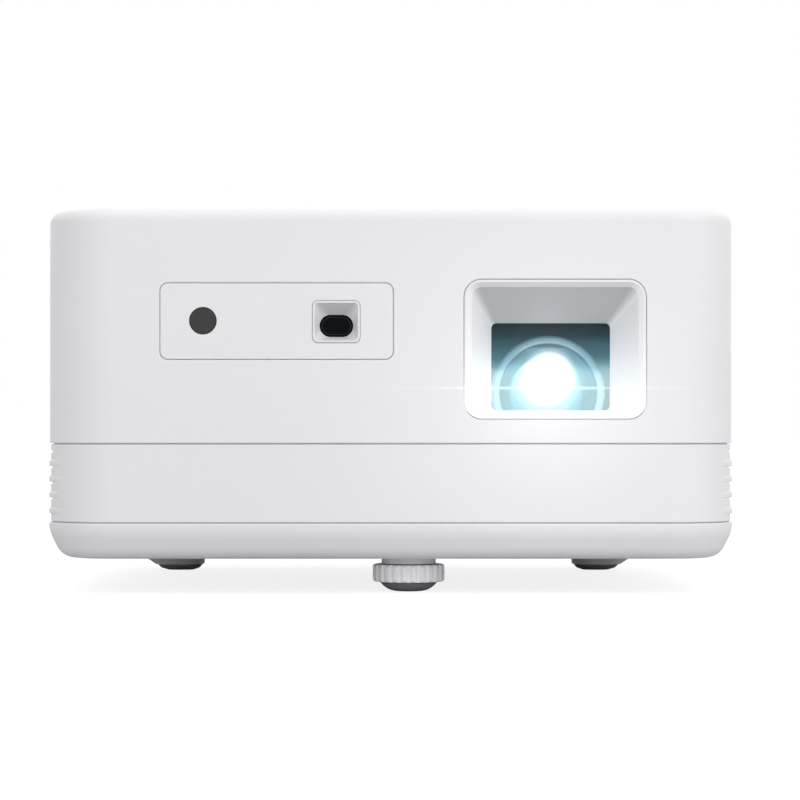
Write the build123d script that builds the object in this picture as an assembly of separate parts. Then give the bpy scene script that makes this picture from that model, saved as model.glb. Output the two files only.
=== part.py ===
from build123d import *
import os
from math import atan, cos, pi, radians, sin, sqrt, tan

# A home projector: a white moulded case with a lens recess at the front, louvred
# side vents, a screw foot in front and two fixed feet behind.
# Millimetres. X runs along the width, +Y towards the back, +Z up. The origin is on
# the table under the middle of the case.

# Case
WIDTH = 225.0
DEPTH = 200.0
HEIGHT = 125.0
CORNER_R = 22.0
TOP_EDGE_R = 4.0
TRAY_PROUD = 0.3
TRAY_SLOPE_IN = 4.4
TRAY_SLOPE_UP = 8.8
TRAY_KNEE_R = 10.0
TRAY_HEEL_R = 6.5
TRAY_INNER_R = 7.5
WALL = 2.5
UNDERSIDE_Z = 11.4
TRAY_TOP_Z = 23.3
BAND_TOP_Z = 48.9
SEAM = 0.4
LIP_INSET = 1.35
LIP_HEIGHT = 2.1
PANEL_GAP = 0.18
EDGE_SOFT = 0.3

# Side louvres, in the band between the tray and the cover
LOUVRE_COUNT = 5
LOUVRE_PITCH = 5.17
LOUVRE_FIN = 2.0
LOUVRE_GROOVE = 0.9
LOUVRE_PROUD = 0.4
LOUVRE_DEPTH = 1.1
LOUVRE_FADE = 2.3
BAND_INSET = 0.3
VENT_BAYS = 6
VENT_BAY_LENGTH = 21.0
VENT_BAY_PITCH = 23.5

# Front features
LENS_X = 52.2
LENS_Z = 65.8
BEZEL_X = 52.95
BEZEL_Z = 79.4
BEZEL_W = 58.7
BEZEL_H = 45.0
BEZEL_R = 5.7
BEZEL_RIM = 0.8
BEZEL_BEVEL = 1.6
RECESS_DEPTH = 15.0
WINDOW_X = 52.5
WINDOW_Z = 74.1
WINDOW_W = 39.0
WINDOW_H = 28.6
WINDOW_R = 1.7
PANEL_X = -36.95
PANEL_Z = 88.45
PANEL_W = 75.1
PANEL_H = 24.5
PANEL_R = 2.5
PANEL_T = 1.6
IR_X = -60.7
IR_Z = 88.6
IR_R = 4.35
SENSOR_X = -17.7
SENSOR_Z = 88.3
SENSOR_W = 15.4
SENSOR_H = 13.6
SENSOR_R = 1.8
SENSOR_DEPTH = 5.0
EYE_Z = 87.1
EYE_W = 10.9
EYE_H = 7.2

# Feet
FOOT_X = 6.0
FOOT_Y = -75.0
FOOT_TRAVEL = 10.0
COLLAR_R = 9.0
COLLAR_Z = 9.2
WHEEL_R = 11.9
WHEEL_FLUTES = 24
STUD_R = 4.0
PIVOT_R = 2.0
RUN_GAP = 0.05
CLEAR = 0.3
REAR_FOOT_X = 81.1
REAR_FOOT_Y = 59.0
REAR_FOOT_HALF = 10.9
REAR_FOOT_TOE = 7.7
REAR_FOOT_DEEP = 19.4
REAR_FOOT_Z0 = 2.2
REAR_SLOPE_Z = 4.3
REAR_PAD_IN = -9.9
REAR_PAD_OUT = 6.6
REAR_PAD_DEEP = 16.0
REAR_PAD_TOP = 3.2
REAR_PAD_EDGE_Z = 1.7

# Case screws
POST_X = 93.0
POST_Y = 83.0
SCREW_R = 1.45

# Rear features
FAN_X = -58.0
FAN_Z = 80.0
FAN_SIZE = 60.0
FAN_Y0 = 80.0
FAN_Y1 = 95.0
GRILLE_W = 58.0
GRILLE_H = 56.0
IO_X = 37.0
IO_Z = 67.0
IO_W = 100.0
IO_H = 26.0
BACK_PLATE_R = 3.0
HDMI_X = 6.0
USB_X = 28.0
AUDIO_X = 45.0
INLET_X = 70.0
INLET_Z = 67.0

# Power button, in the top
BUTTON_X = 70.0
BUTTON_Y = 70.0
BUTTON_R = 6.5

# Projection lens and its focus drive
FRONT_Y = -DEPTH / 2
BACK_Y = DEPTH / 2
LENS_RING_Y = -78.0
BARREL_R = 18.7
FOCUS_MODULE = 0.8
FOCUS_TEETH = 60
PINION_TEETH = 12
FOCUS_Y0 = -61.0
FOCUS_Y1 = -54.0
PRESSURE_ANGLE = 20.0

# Light engine
ENGINE_X0 = -62.0
ENGINE_X1 = 88.0
ENGINE_Y0 = -36.5
ENGINE_Y1 = 38.0
ENGINE_Z0 = 40.5
ENGINE_Z1 = 91.0
ENGINE_WALL = 2.2
AXIS_Y = 0.75

# Boards
MAIN_Z = 58.0
SUPPLY_Z = 20.0
BOARD_T = 1.6


def box(x0, x1, y0, y1, z0, z1):
    """A plain block between two corners."""
    centre = Pos((x0 + x1) / 2, (y0 + y1) / 2, (z0 + z1) / 2)
    return centre * Box(x1 - x0, y1 - y0, z1 - z0)


def rod_y(x, z, radius, y0, y1):
    return Plane(origin=(x, y0, z), x_dir=(1, 0, 0), z_dir=(0, 1, 0)) * extrude(Circle(radius), y1 - y0)


def rod_z(x, y, radius, z0, z1):
    return Pos(x, y, z0) * extrude(Circle(radius), z1 - z0)


def facing(x, z, y):
    """A plane that looks out of the front, with its own Y upwards."""
    return Plane(origin=(x, y, z), x_dir=(1, 0, 0), z_dir=(0, -1, 0))


def plate_y(x, z, width, height, radius, y0, y1):
    """A rounded plate in the XZ plane, from y0 back to y1."""
    return facing(x, z, y1) * extrude(RectangleRounded(width, height, radius), y1 - y0)


def outline(inset, z0, z1):
    """The case's plan shape, drawn in by inset."""
    plan = RectangleRounded(WIDTH - 2 * inset, DEPTH - 2 * inset, CORNER_R - inset)
    return Pos(0, 0, z0) * extrude(plan, z1 - z0)


def top_edges(shape):
    return shape.edges().group_by(Axis.Z)[-1]


def bottom_edges(shape):
    return shape.edges().group_by(Axis.Z)[0]


def front_edges(shape):
    return shape.edges().group_by(Axis.Y)[0]


def back_edges(shape):
    return shape.edges().group_by(Axis.Y)[-1]


def opening(x, z, width, height, radius, y0, y1):
    """The cutter for a rounded opening that a flush piece fills, edge broken in front."""
    gap = 2 * PANEL_GAP
    cutter = plate_y(x, z, width + gap, height + gap, radius + PANEL_GAP, y0 - 1, y1)
    flare = gap + 2 * EDGE_SOFT
    return cutter + loft([
        frame_section(x, z, width + flare, height + flare, radius + PANEL_GAP + EDGE_SOFT, y0),
        frame_section(x, z, width + gap, height + gap, radius + PANEL_GAP, y0 + EDGE_SOFT),
    ], ruled=True)


def back_opening(x, z, width, height, radius):
    """The same through the back wall, edge broken behind."""
    gap = 2 * PANEL_GAP
    cutter = plate_y(x, z, width + gap, height + gap, radius + PANEL_GAP, BACK_Y - WALL - 1, BACK_Y + 1)
    flare = gap + 2 * EDGE_SOFT
    return cutter + loft([
        frame_section(x, z, width + flare, height + flare, radius + PANEL_GAP + EDGE_SOFT, BACK_Y),
        frame_section(x, z, width + gap, height + gap, radius + PANEL_GAP, BACK_Y - EDGE_SOFT),
    ], ruled=True)


def save(name, *shapes):
    """Write one node; several shapes become separate solids of that node."""
    solids = [solid for shape in shapes for solid in shape.solids()]
    if len(solids) == 1:
        export_step(solids[0], "parts/" + name + ".step")
    else:
        export_step(Compound(children=solids), "parts/" + name + ".step")


os.makedirs("parts", exist_ok=True)


# ---------------------------------------------------------------- case

def post_places():
    return [(x, y) for x in (-POST_X, POST_X) for y in (-POST_Y, POST_Y)]


COVER_Z0 = BAND_TOP_Z + SEAM / 2
POST_JOINT_Z = 49.5


def upper_cover():
    outer = outline(0, COVER_Z0, HEIGHT)
    outer = fillet(top_edges(outer), TOP_EDGE_R)
    outer = fillet(bottom_edges(outer), EDGE_SOFT)
    inner = outline(WALL, COVER_Z0 - 1, HEIGHT - WALL)
    inner = fillet(top_edges(inner), TOP_EDGE_R - WALL)
    cover = outer - inner
    cover -= outline(LIP_INSET - 0.05, COVER_Z0 - 1, BAND_TOP_Z + LIP_HEIGHT + 0.1)
    cover -= opening(BEZEL_X, BEZEL_Z, BEZEL_W, BEZEL_H, BEZEL_R, FRONT_Y, FRONT_Y + WALL + 1)
    cover -= opening(PANEL_X, PANEL_Z, PANEL_W, PANEL_H, PANEL_R, FRONT_Y, FRONT_Y + PANEL_T + 0.1)
    cover -= rod_y(IR_X, IR_Z, IR_R + 1.2, FRONT_Y, FRONT_Y + WALL + 1)
    cover -= plate_y(SENSOR_X, SENSOR_Z, SENSOR_W + 1, SENSOR_H + 1, SENSOR_R, FRONT_Y, FRONT_Y + WALL + 1)
    cover -= back_opening(FAN_X, FAN_Z, GRILLE_W, GRILLE_H, BACK_PLATE_R)
    cover -= back_opening(IO_X, IO_Z, IO_W, IO_H, BACK_PLATE_R)
    cover -= rod_z(BUTTON_X, BUTTON_Y, BUTTON_R + CLEAR, HEIGHT - WALL - 1, HEIGHT + 1)
    for x, y in post_places():
        cover += cover_boss(x, y)
    for x in (PANEL_X - 12, PANEL_X + 8):
        cover += rod_y(x, PANEL_Z, 2.5, FRONT_Y + WALL - 0.5, SENSOR_BOARD_Y)
    for x in (-1, 1):
        cover += rod_z(BUTTON_X + x * 13, BUTTON_Y, 2.5, BUTTON_BOARD_Z + BOARD_T, HEIGHT - WALL + 0.5)
    return cover


FAN_HOLE = 25.0
SENSOR_BOARD_Y = FRONT_Y + 9.5
BUTTON_BOARD_Z = 112.0


def cover_boss(x, y):
    """A screw boss low in a corner of the cover, tied to both walls by ribs."""
    side = 1 if x > 0 else -1
    end = 1 if y > 0 else -1
    top = POST_JOINT_Z + 14
    boss = rod_z(x, y, 4.0, POST_JOINT_Z, top)
    rib_z = BAND_TOP_Z + LIP_HEIGHT + 0.5
    rib_end = WIDTH / 2 - WALL + 0.5
    boss += box(min(side * rib_end, x), max(side * rib_end, x), y - 0.8, y + 0.8, rib_z, top)
    rib_end = DEPTH / 2 - WALL + 0.5
    boss += box(x - 0.8, x + 0.8, min(end * rib_end, y), max(end * rib_end, y), rib_z, top)
    boss -= rod_z(x, y, SCREW_R + RUN_GAP, POST_JOINT_Z, top - 2)
    return boss


def side_plan(wider, z0, z1):
    """The case's plan, moved out at the sides and in at the ends, so that its corners cross the case's."""
    plan = RectangleRounded(WIDTH + 2 * wider, DEPTH - 2 * LOUVRE_FADE * wider, CORNER_R)
    return Pos(0, 0, z0) * extrude(plan, z1 - z0)


def louvre_fin(z0, z1):
    """A rounded rib down both sides that fades out round the corners."""
    fin = side_plan(LOUVRE_PROUD, z0, z1)
    fin = fillet(top_edges(fin), 0.6)
    fin = fillet(bottom_edges(fin), 0.3)
    return fin - outline(WALL - 0.5, z0 - 1, z1 + 1)


def vent_band():
    z0 = TRAY_TOP_Z + SEAM / 2
    z1 = BAND_TOP_Z - SEAM / 2
    band = outline(BAND_INSET, z0, z1)
    band = fillet(top_edges(band) + bottom_edges(band), EDGE_SOFT)
    band -= outline(WALL, z0 - 1, z1 + 1)
    band -= outline(LIP_INSET - 0.05, z0 - 1, TRAY_TOP_Z + LIP_HEIGHT + 0.1)
    lip = outline(LIP_INSET, z1 - 1, BAND_TOP_Z + LIP_HEIGHT)
    band += lip - outline(WALL, z1 - 2, BAND_TOP_Z + LIP_HEIGHT + 1)
    for row in range(1, LOUVRE_COUNT):
        fin_top = z1 - row * LOUVRE_PITCH
        band += louvre_fin(fin_top - LOUVRE_FIN, fin_top)
    for row in range(LOUVRE_COUNT - 1):
        groove_top = z1 - LOUVRE_FIN - row * LOUVRE_PITCH
        groove_z = groove_top - LOUVRE_GROOVE
        groove = outline(-1, groove_z, groove_top)
        band -= groove - side_plan(-LOUVRE_DEPTH, groove_z - 1, groove_top + 1)
        for bay in range(VENT_BAYS):
            y = (bay - (VENT_BAYS - 1) / 2) * VENT_BAY_PITCH
            y0 = y - VENT_BAY_LENGTH / 2
            y1 = y + VENT_BAY_LENGTH / 2
            band -= box(-WIDTH, -WIDTH / 2 + WALL + 1, y0, y1, groove_z, groove_top)
            band -= box(WIDTH / 2 - WALL - 1, WIDTH, y0, y1, groove_z, groove_top)
    return band


def tray_outside(z1):
    """The tray's outside, its sides sloped in to the floor with a soft knee and heel."""
    plan = RectangleRounded(WIDTH + 2 * TRAY_PROUD, DEPTH, CORNER_R)
    tray = Pos(0, 0, UNDERSIDE_Z) * extrude(plan, z1 - UNDERSIDE_Z)
    floor = tray.faces().sort_by(Axis.Z)[0]
    tray = chamfer(floor.edges(), TRAY_SLOPE_IN, TRAY_SLOPE_UP, reference=floor)
    tray = fillet(bottom_edges(tray), TRAY_HEEL_R)
    knee_z = UNDERSIDE_Z + TRAY_SLOPE_UP
    knee = tray.edges().filter_by_position(Axis.Z, knee_z - 0.05, knee_z + 0.05)
    return fillet(knee, TRAY_KNEE_R)


def bottom_tray():
    z1 = TRAY_TOP_Z - SEAM / 2
    floor_z = FLOOR_TOP
    tray = fillet(top_edges(tray_outside(z1)), EDGE_SOFT)
    hollow = fillet(bottom_edges(outline(WALL, floor_z, z1 + 1)), TRAY_INNER_R)
    tray -= hollow
    lip = outline(LIP_INSET, z1 - 1, TRAY_TOP_Z + LIP_HEIGHT)
    tray += lip - outline(WALL, z1 - 2, TRAY_TOP_Z + LIP_HEIGHT + 1)
    for x, y in post_places():
        tray -= rod_z(x, y, POST_BORE_R, UNDERSIDE_Z - 1, floor_z + 1)
    tray -= rod_z(FOOT_X, FOOT_Y, COLLAR_NECK_R + RUN_GAP, UNDERSIDE_Z - 1, floor_z + 1)
    tray += rod_z(TRIPOD_X, TRIPOD_Y, 8.0, UNDERSIDE_Z + 1, TRIPOD_Z1 + 2)
    return tray - rod_z(TRIPOD_X, TRIPOD_Y, TRIPOD_OUTER_R, UNDERSIDE_Z - 1, TRIPOD_Z1)


FLOOR_TOP = UNDERSIDE_Z + WALL
POST_BORE_R = 3.5
POST_SEAT_Z = POST_JOINT_Z - 2.5
COLLAR_NECK_R = 6.8


def case_post(x, y):
    """A hollow post from the tray's floor; its screw is reached from underneath."""
    post = rod_z(x, y, 4.75, FLOOR_TOP, POST_JOINT_Z)
    post -= rod_z(x, y, POST_BORE_R, FLOOR_TOP - 1, POST_SEAT_Z)
    return post - rod_z(x, y, SCREW_R + RUN_GAP, FLOOR_TOP, POST_JOINT_Z + 1)


def standoff(x, y, radius, top):
    """A solid post that carries a board or the light engine, drilled for a screw."""
    post = rod_z(x, y, radius, FLOOR_TOP, top)
    return post - rod_z(x, y, SCREW_R + RUN_GAP, max(top - 10, FLOOR_TOP + 0.5), top + 1)


def standoffs():
    posts = [standoff(x, y, 3.0, MAIN_Z) for x, y in main_board_posts()]
    posts += [standoff(x, y, 3.0, SUPPLY_Z) for x, y in supply_posts()]
    posts += [standoff(x, y, 4.0, ENGINE_Z0) for x, y in engine_posts()]
    return posts


def foot_collar():
    """The round collar that the screw foot's wheel stops against, and its boss."""
    collar = rod_z(FOOT_X, FOOT_Y, COLLAR_R, COLLAR_Z, UNDERSIDE_Z)
    collar += rod_z(FOOT_X, FOOT_Y, COLLAR_NECK_R, COLLAR_Z, FLOOR_TOP)
    collar += rod_z(FOOT_X, FOOT_Y, 8.5, FLOOR_TOP, FOOT_INSERT_Z1)
    collar -= rod_z(FOOT_X, FOOT_Y, FOOT_INSERT_R, FOOT_INSERT_Z0, FOOT_INSERT_Z1 + 1)
    return collar - rod_z(FOOT_X, FOOT_Y, STUD_R + CLEAR, COLLAR_Z - 1, FOOT_INSERT_Z0 + 1)


FOOT_INSERT_R = 5.5
FOOT_INSERT_Z0 = 13.0
FOOT_INSERT_Z1 = 27.0
TRIPOD_X = 0.0
TRIPOD_Y = 0.0
TRIPOD_R = 3.175
TRIPOD_OUTER_R = 5.0
TRIPOD_Z1 = 20.4


def main_board_posts():
    return [(x, y) for x in (-19.0, 52.0) for y in (47.0, 86.0)]


def supply_posts():
    return [(x, y) for x in (-8.0, 82.0) for y in (47.0, 79.0)]


def engine_posts():
    return [(x, y) for x in (-50.0, 78.0) for y in (-28.0, 30.0)]


def foot_plan(side, inner, outer, width, z):
    """A rounded outline of one rear foot at a height; inner and outer are its two ends along X."""
    centre = Pos(side * (REAR_FOOT_X + (outer + inner) / 2), REAR_FOOT_Y, z)
    return centre * RectangleRounded(outer - inner, width, width * 0.38)


def rear_foot(side):
    """A low foot under the tray, its outer end sloped, with a pocket for its rubber pad."""
    half = REAR_FOOT_HALF
    foot = loft([
        foot_plan(side, -half, half, REAR_FOOT_DEEP, UNDERSIDE_Z),
        foot_plan(side, -half, half, REAR_FOOT_DEEP, REAR_SLOPE_Z),
    ], ruled=True)
    foot += loft([
        foot_plan(side, -half, half, REAR_FOOT_DEEP, REAR_SLOPE_Z),
        foot_plan(side, 0.2 - half, REAR_FOOT_TOE, REAR_FOOT_DEEP - 1.4, REAR_FOOT_Z0),
    ], ruled=True)
    pocket_z = REAR_FOOT_Z0 - 1
    pocket = foot_plan(side, REAR_PAD_IN - 0.1, REAR_PAD_OUT + 0.1, REAR_PAD_DEEP + 0.2, pocket_z)
    return foot - extrude(pocket, REAR_PAD_TOP - pocket_z)


def rear_pad(side):
    """A rubber pad that is domed where it stands on the table."""
    pad = loft([
        foot_plan(side, REAR_PAD_IN, REAR_PAD_OUT, REAR_PAD_DEEP, REAR_PAD_TOP),
        foot_plan(side, REAR_PAD_IN, REAR_PAD_OUT, REAR_PAD_DEEP, REAR_PAD_EDGE_Z),
    ], ruled=True)
    return pad + loft([
        foot_plan(side, REAR_PAD_IN, REAR_PAD_OUT, REAR_PAD_DEEP, REAR_PAD_EDGE_Z),
        foot_plan(side, REAR_PAD_IN + 0.9, REAR_PAD_OUT - 1.2, REAR_PAD_DEEP - 2, REAR_PAD_EDGE_Z - 1),
        foot_plan(side, REAR_PAD_IN + 3.0, REAR_PAD_OUT - 3.6, REAR_PAD_DEEP - 6, 0),
    ], ruled=True)


def case_screw(x, y):
    """A screw deep in its post, with a cross-shaped drive recess."""
    head_z = POST_SEAT_Z
    screw = rod_z(x, y, 2.8, head_z - 2.0, head_z)
    screw += rod_z(x, y, SCREW_R, head_z, head_z + 12)
    screw -= box(x - 1.5, x + 1.5, y - 0.35, y + 0.35, head_z - 2.5, head_z - 0.9)
    screw -= box(x - 0.35, x + 0.35, y - 1.5, y + 1.5, head_z - 2.5, head_z - 0.9)
    return screw


def tripod_insert():
    insert = rod_z(TRIPOD_X, TRIPOD_Y, TRIPOD_OUTER_R, UNDERSIDE_Z, TRIPOD_Z1)
    return insert - rod_z(TRIPOD_X, TRIPOD_Y, TRIPOD_R, UNDERSIDE_Z - 1, TRIPOD_Z1 - 1)


# ---------------------------------------------------------------- front face

BEVEL_DEPTH = 0.9
BEZEL_SKIN = 1.6
RECESS_Y = FRONT_Y + RECESS_DEPTH
GLASS_Y0 = RECESS_Y + 1.2
GLASS_Y1 = GLASS_Y0 + 1.5


def frame_section(x, z, width, height, radius, y):
    return facing(x, z, y) * RectangleRounded(width, height, radius)


def lens_bezel():
    """The tapered recess round the projection window, with a bevelled rim."""
    rim = BEZEL_RIM + BEZEL_BEVEL
    mouth_w = BEZEL_W - 2 * rim
    mouth_h = BEZEL_H - 2 * rim
    mouth_r = BEZEL_R - rim
    bevel_y = FRONT_Y + BEVEL_DEPTH
    skin = 2 * BEZEL_SKIN
    body = plate_y(BEZEL_X, BEZEL_Z, BEZEL_W, BEZEL_H, BEZEL_R, FRONT_Y, FRONT_Y + WALL + 1)
    body = fillet(front_edges(body), EDGE_SOFT)
    body += plate_y(BEZEL_X, BEZEL_Z, BEZEL_W + 4, BEZEL_H + 4, BEZEL_R, FRONT_Y + WALL, FRONT_Y + WALL + 1.5)
    body += loft([
        frame_section(BEZEL_X, BEZEL_Z, mouth_w + skin, mouth_h + skin, mouth_r + BEZEL_SKIN, bevel_y + 1),
        frame_section(WINDOW_X, WINDOW_Z, WINDOW_W + skin, WINDOW_H + skin, WINDOW_R + BEZEL_SKIN, RECESS_Y),
    ], ruled=True)
    body += plate_y(WINDOW_X, WINDOW_Z, WINDOW_W + 7, WINDOW_H + 7, 3, RECESS_Y - 1, GLASS_Y1)
    body -= loft([
        frame_section(BEZEL_X, BEZEL_Z, BEZEL_W - 2 * BEZEL_RIM, BEZEL_H - 2 * BEZEL_RIM,
                      BEZEL_R - BEZEL_RIM, FRONT_Y),
        frame_section(BEZEL_X, BEZEL_Z, mouth_w, mouth_h, mouth_r, bevel_y),
    ], ruled=True)
    body -= loft([
        frame_section(BEZEL_X, BEZEL_Z, mouth_w, mouth_h, mouth_r, bevel_y),
        frame_section(WINDOW_X, WINDOW_Z, WINDOW_W, WINDOW_H, WINDOW_R, RECESS_Y),
    ], ruled=True)
    body -= plate_y(WINDOW_X, WINDOW_Z, WINDOW_W, WINDOW_H, WINDOW_R, RECESS_Y - 0.01, GLASS_Y1 + 1)
    body -= plate_y(WINDOW_X, WINDOW_Z, WINDOW_W + 4, WINDOW_H + 4, WINDOW_R, GLASS_Y0, GLASS_Y1 + 1)
    return body


def lens_window():
    return plate_y(WINDOW_X, WINDOW_Z, WINDOW_W + 3.8, WINDOW_H + 3.8, WINDOW_R, GLASS_Y0, GLASS_Y1)


def sensor_panel():
    panel = plate_y(PANEL_X, PANEL_Z, PANEL_W, PANEL_H, PANEL_R, FRONT_Y, FRONT_Y + PANEL_T)
    panel = fillet(front_edges(panel), EDGE_SOFT)
    panel -= rod_y(IR_X, IR_Z, IR_R + 0.12, FRONT_Y - 1, FRONT_Y + PANEL_T + 1)
    return panel - plate_y(SENSOR_X, SENSOR_Z, SENSOR_W + 0.24, SENSOR_H + 0.24, SENSOR_R + 0.12,
                           FRONT_Y - 1, FRONT_Y + PANEL_T + 1)


def ir_window():
    window = rod_y(IR_X, IR_Z, IR_R, FRONT_Y + 0.1, FRONT_Y + WALL)
    window = fillet(front_edges(window), EDGE_SOFT)
    return window + rod_y(IR_X, IR_Z, IR_R + 1.0, FRONT_Y + PANEL_T + 0.1, FRONT_Y + WALL)


def eye_section(grow, y):
    radius = (EYE_H + grow) / 2 - 0.05
    return frame_section(SENSOR_X, EYE_Z, EYE_W + grow, EYE_H + grow, radius, y)


def sensor_bezel():
    """A small tapered recess round the camera's oval window."""
    rim = 0.7
    back = FRONT_Y + SENSOR_DEPTH
    body = plate_y(SENSOR_X, SENSOR_Z, SENSOR_W, SENSOR_H, SENSOR_R, FRONT_Y, back + 1.4)
    body = fillet(front_edges(body), EDGE_SOFT)
    body -= loft([
        frame_section(SENSOR_X, SENSOR_Z, SENSOR_W - 2 * rim, SENSOR_H - 2 * rim, SENSOR_R - rim, FRONT_Y),
        eye_section(0, back - 0.5),
    ], ruled=True)
    body -= facing(SENSOR_X, EYE_Z, back + 0.4) * extrude(eye_section_flat(0), 1.0)
    return body - facing(SENSOR_X, EYE_Z, back + 2) * extrude(eye_section_flat(1.2), 2.0)


def eye_section_flat(grow):
    return RectangleRounded(EYE_W + grow, EYE_H + grow, (EYE_H + grow) / 2 - 0.05)


def sensor_window():
    back = FRONT_Y + SENSOR_DEPTH
    return facing(SENSOR_X, EYE_Z, back + 1.0) * extrude(eye_section_flat(1.0), 1.0)


# ---------------------------------------------------------------- screw foot

WHEEL_Z0 = 3.2
WHEEL_Z1 = COLLAR_Z - CLEAR
STUD_TOP = FOOT_INSERT_Z1 + FOOT_TRAVEL - 3.0
PAD_TOP = WHEEL_Z0 - CLEAR
FOOT_PAD_R = 9.4
PIVOT_TOP = 14.0


def foot_insert():
    insert = rod_z(FOOT_X, FOOT_Y, FOOT_INSERT_R, FOOT_INSERT_Z0, FOOT_INSERT_Z1)
    return insert - rod_z(FOOT_X, FOOT_Y, STUD_R + RUN_GAP, FOOT_INSERT_Z0 - 1, FOOT_INSERT_Z1 + 1)


def foot_wheel():
    """The fluted wheel that the fingers turn."""
    wheel = rod_z(FOOT_X, FOOT_Y, WHEEL_R, WHEEL_Z0, WHEEL_Z1)
    wheel = fillet(wheel.edges().filter_by(GeomType.CIRCLE), 0.8)
    flute_r = 1.05
    flute_place = WHEEL_R + 0.45
    for index in range(WHEEL_FLUTES):
        angle = 2 * pi * index / WHEEL_FLUTES
        x = FOOT_X + flute_place * cos(angle)
        y = FOOT_Y + flute_place * sin(angle)
        wheel -= rod_z(x, y, flute_r, WHEEL_Z0 - 1, WHEEL_Z1 + 1)
    return wheel - rod_z(FOOT_X, FOOT_Y, STUD_R, WHEEL_Z0 - 1, WHEEL_Z1 + 1)


def foot_stud():
    stud = rod_z(FOOT_X, FOOT_Y, STUD_R, WHEEL_Z0, STUD_TOP)
    stud = chamfer(top_edges(stud), 0.8)
    return stud - rod_z(FOOT_X, FOOT_Y, PIVOT_R + RUN_GAP, WHEEL_Z0 - 1, PIVOT_TOP + 1)


def foot_pad():
    """A domed rubber pad that stays still on the table while the stud turns."""
    side = Line((0, 0), (4.0, 0)) + ThreePointArc((4.0, 0), (7.0, 0.78), (FOOT_PAD_R, PAD_TOP))
    side += Line((FOOT_PAD_R, PAD_TOP), (0, PAD_TOP)) + Line((0, PAD_TOP), (0, 0))
    profile = Plane(origin=(FOOT_X, FOOT_Y, 0), x_dir=(1, 0, 0), z_dir=(0, -1, 0)) * make_face(side)
    pad = revolve(profile, Axis((FOOT_X, FOOT_Y, 0), (0, 0, 1)), 360)
    return pad - rod_z(FOOT_X, FOOT_Y, PIVOT_R, 1.0, PAD_TOP + 1)


def foot_pivot():
    return rod_z(FOOT_X, FOOT_Y, PIVOT_R, 1.0, PIVOT_TOP)


# ---------------------------------------------------------------- projection lens

RING_Y0 = LENS_RING_Y
BARREL_Y0 = -75.0
BARREL_Y1 = -38.0
HOLDER_Y0 = FOCUS_Y1 + CLEAR
HOLDER_Y1 = ENGINE_Y0
FLANGE_Y0 = -40.0
HOLDER_R = 21.7
RETAINER_Y1 = FOCUS_Y0 - CLEAR
POST_CIRCLE_R = 27.5
FOCUS_PITCH_R = FOCUS_MODULE * FOCUS_TEETH / 2
PINION_PITCH_R = FOCUS_MODULE * PINION_TEETH / 2
PINION_X = LENS_X - FOCUS_PITCH_R - PINION_PITCH_R


def holder_post_places():
    places = []
    for index in range(3):
        angle = 2 * pi * index / 3
        places.append((LENS_X + POST_CIRCLE_R * cos(angle), LENS_Z + POST_CIRCLE_R * sin(angle)))
    return places


def tooth_half_angle(radius, pitch_r, base_r, teeth, backlash):
    """Half of an involute tooth's angle at a radius on its flank."""
    pressure = radians(PRESSURE_ANGLE)
    pitch_half = pi / (2 * teeth) - backlash / (2 * pitch_r)
    roll = sqrt(max(radius * radius / (base_r * base_r) - 1, 0))
    flank = roll - atan(roll)
    return pitch_half + tan(pressure) - pressure - flank


def gear_face(teeth, turn_deg):
    """An involute gear's outline about the origin, with a little backlash."""
    backlash = 0.16
    flank_steps = 4
    pitch_r = FOCUS_MODULE * teeth / 2
    base_r = pitch_r * cos(radians(PRESSURE_ANGLE))
    tip_r = pitch_r + 0.9 * FOCUS_MODULE
    root_r = pitch_r - 1.15 * FOCUS_MODULE
    start_r = max(base_r, root_r)
    points = []
    for tooth in range(teeth):
        centre = 2 * pi * tooth / teeth + radians(turn_deg)
        flank = []
        for step in range(flank_steps + 1):
            radius = start_r + (tip_r - start_r) * step / flank_steps
            flank.append((radius, tooth_half_angle(radius, pitch_r, base_r, teeth, backlash)))
        if root_r < start_r:
            flank.insert(0, (root_r, flank[0][1]))
        points += [(radius * cos(centre - half), radius * sin(centre - half)) for radius, half in flank]
        for radius, half in reversed(flank):
            points.append((radius * cos(centre + half), radius * sin(centre + half)))
    return make_face(Polyline(*points, close=True))


def focus_ring():
    gear = facing(LENS_X, LENS_Z, FOCUS_Y1) * extrude(gear_face(FOCUS_TEETH, 0), FOCUS_Y1 - FOCUS_Y0)
    return gear - rod_y(LENS_X, LENS_Z, BARREL_R + RUN_GAP, FOCUS_Y0 - 1, FOCUS_Y1 + 1)


def focus_pinion():
    y0 = FOCUS_Y0 + 0.5
    y1 = FOCUS_Y1 - 0.5
    gear = facing(PINION_X, LENS_Z, y1) * extrude(gear_face(PINION_TEETH, 180 / PINION_TEETH), y1 - y0)
    return gear + rod_y(PINION_X, LENS_Z, 1.0, y0, FLANGE_Y0 - 5)


def focus_motor():
    motor = rod_y(PINION_X, LENS_Z, 6.0, FLANGE_Y0 - 11, FLANGE_Y0)
    motor += rod_y(PINION_X, LENS_Z, 2.5, FLANGE_Y0 - 12, FLANGE_Y0)
    motor += box(PINION_X - 8.5, PINION_X - 4, FLANGE_Y0 - 4, FLANGE_Y0, LENS_Z - 3, LENS_Z + 3)
    return motor - rod_y(PINION_X, LENS_Z, 1.0 + RUN_GAP, FLANGE_Y0 - 13, FLANGE_Y0 - 4)


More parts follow.
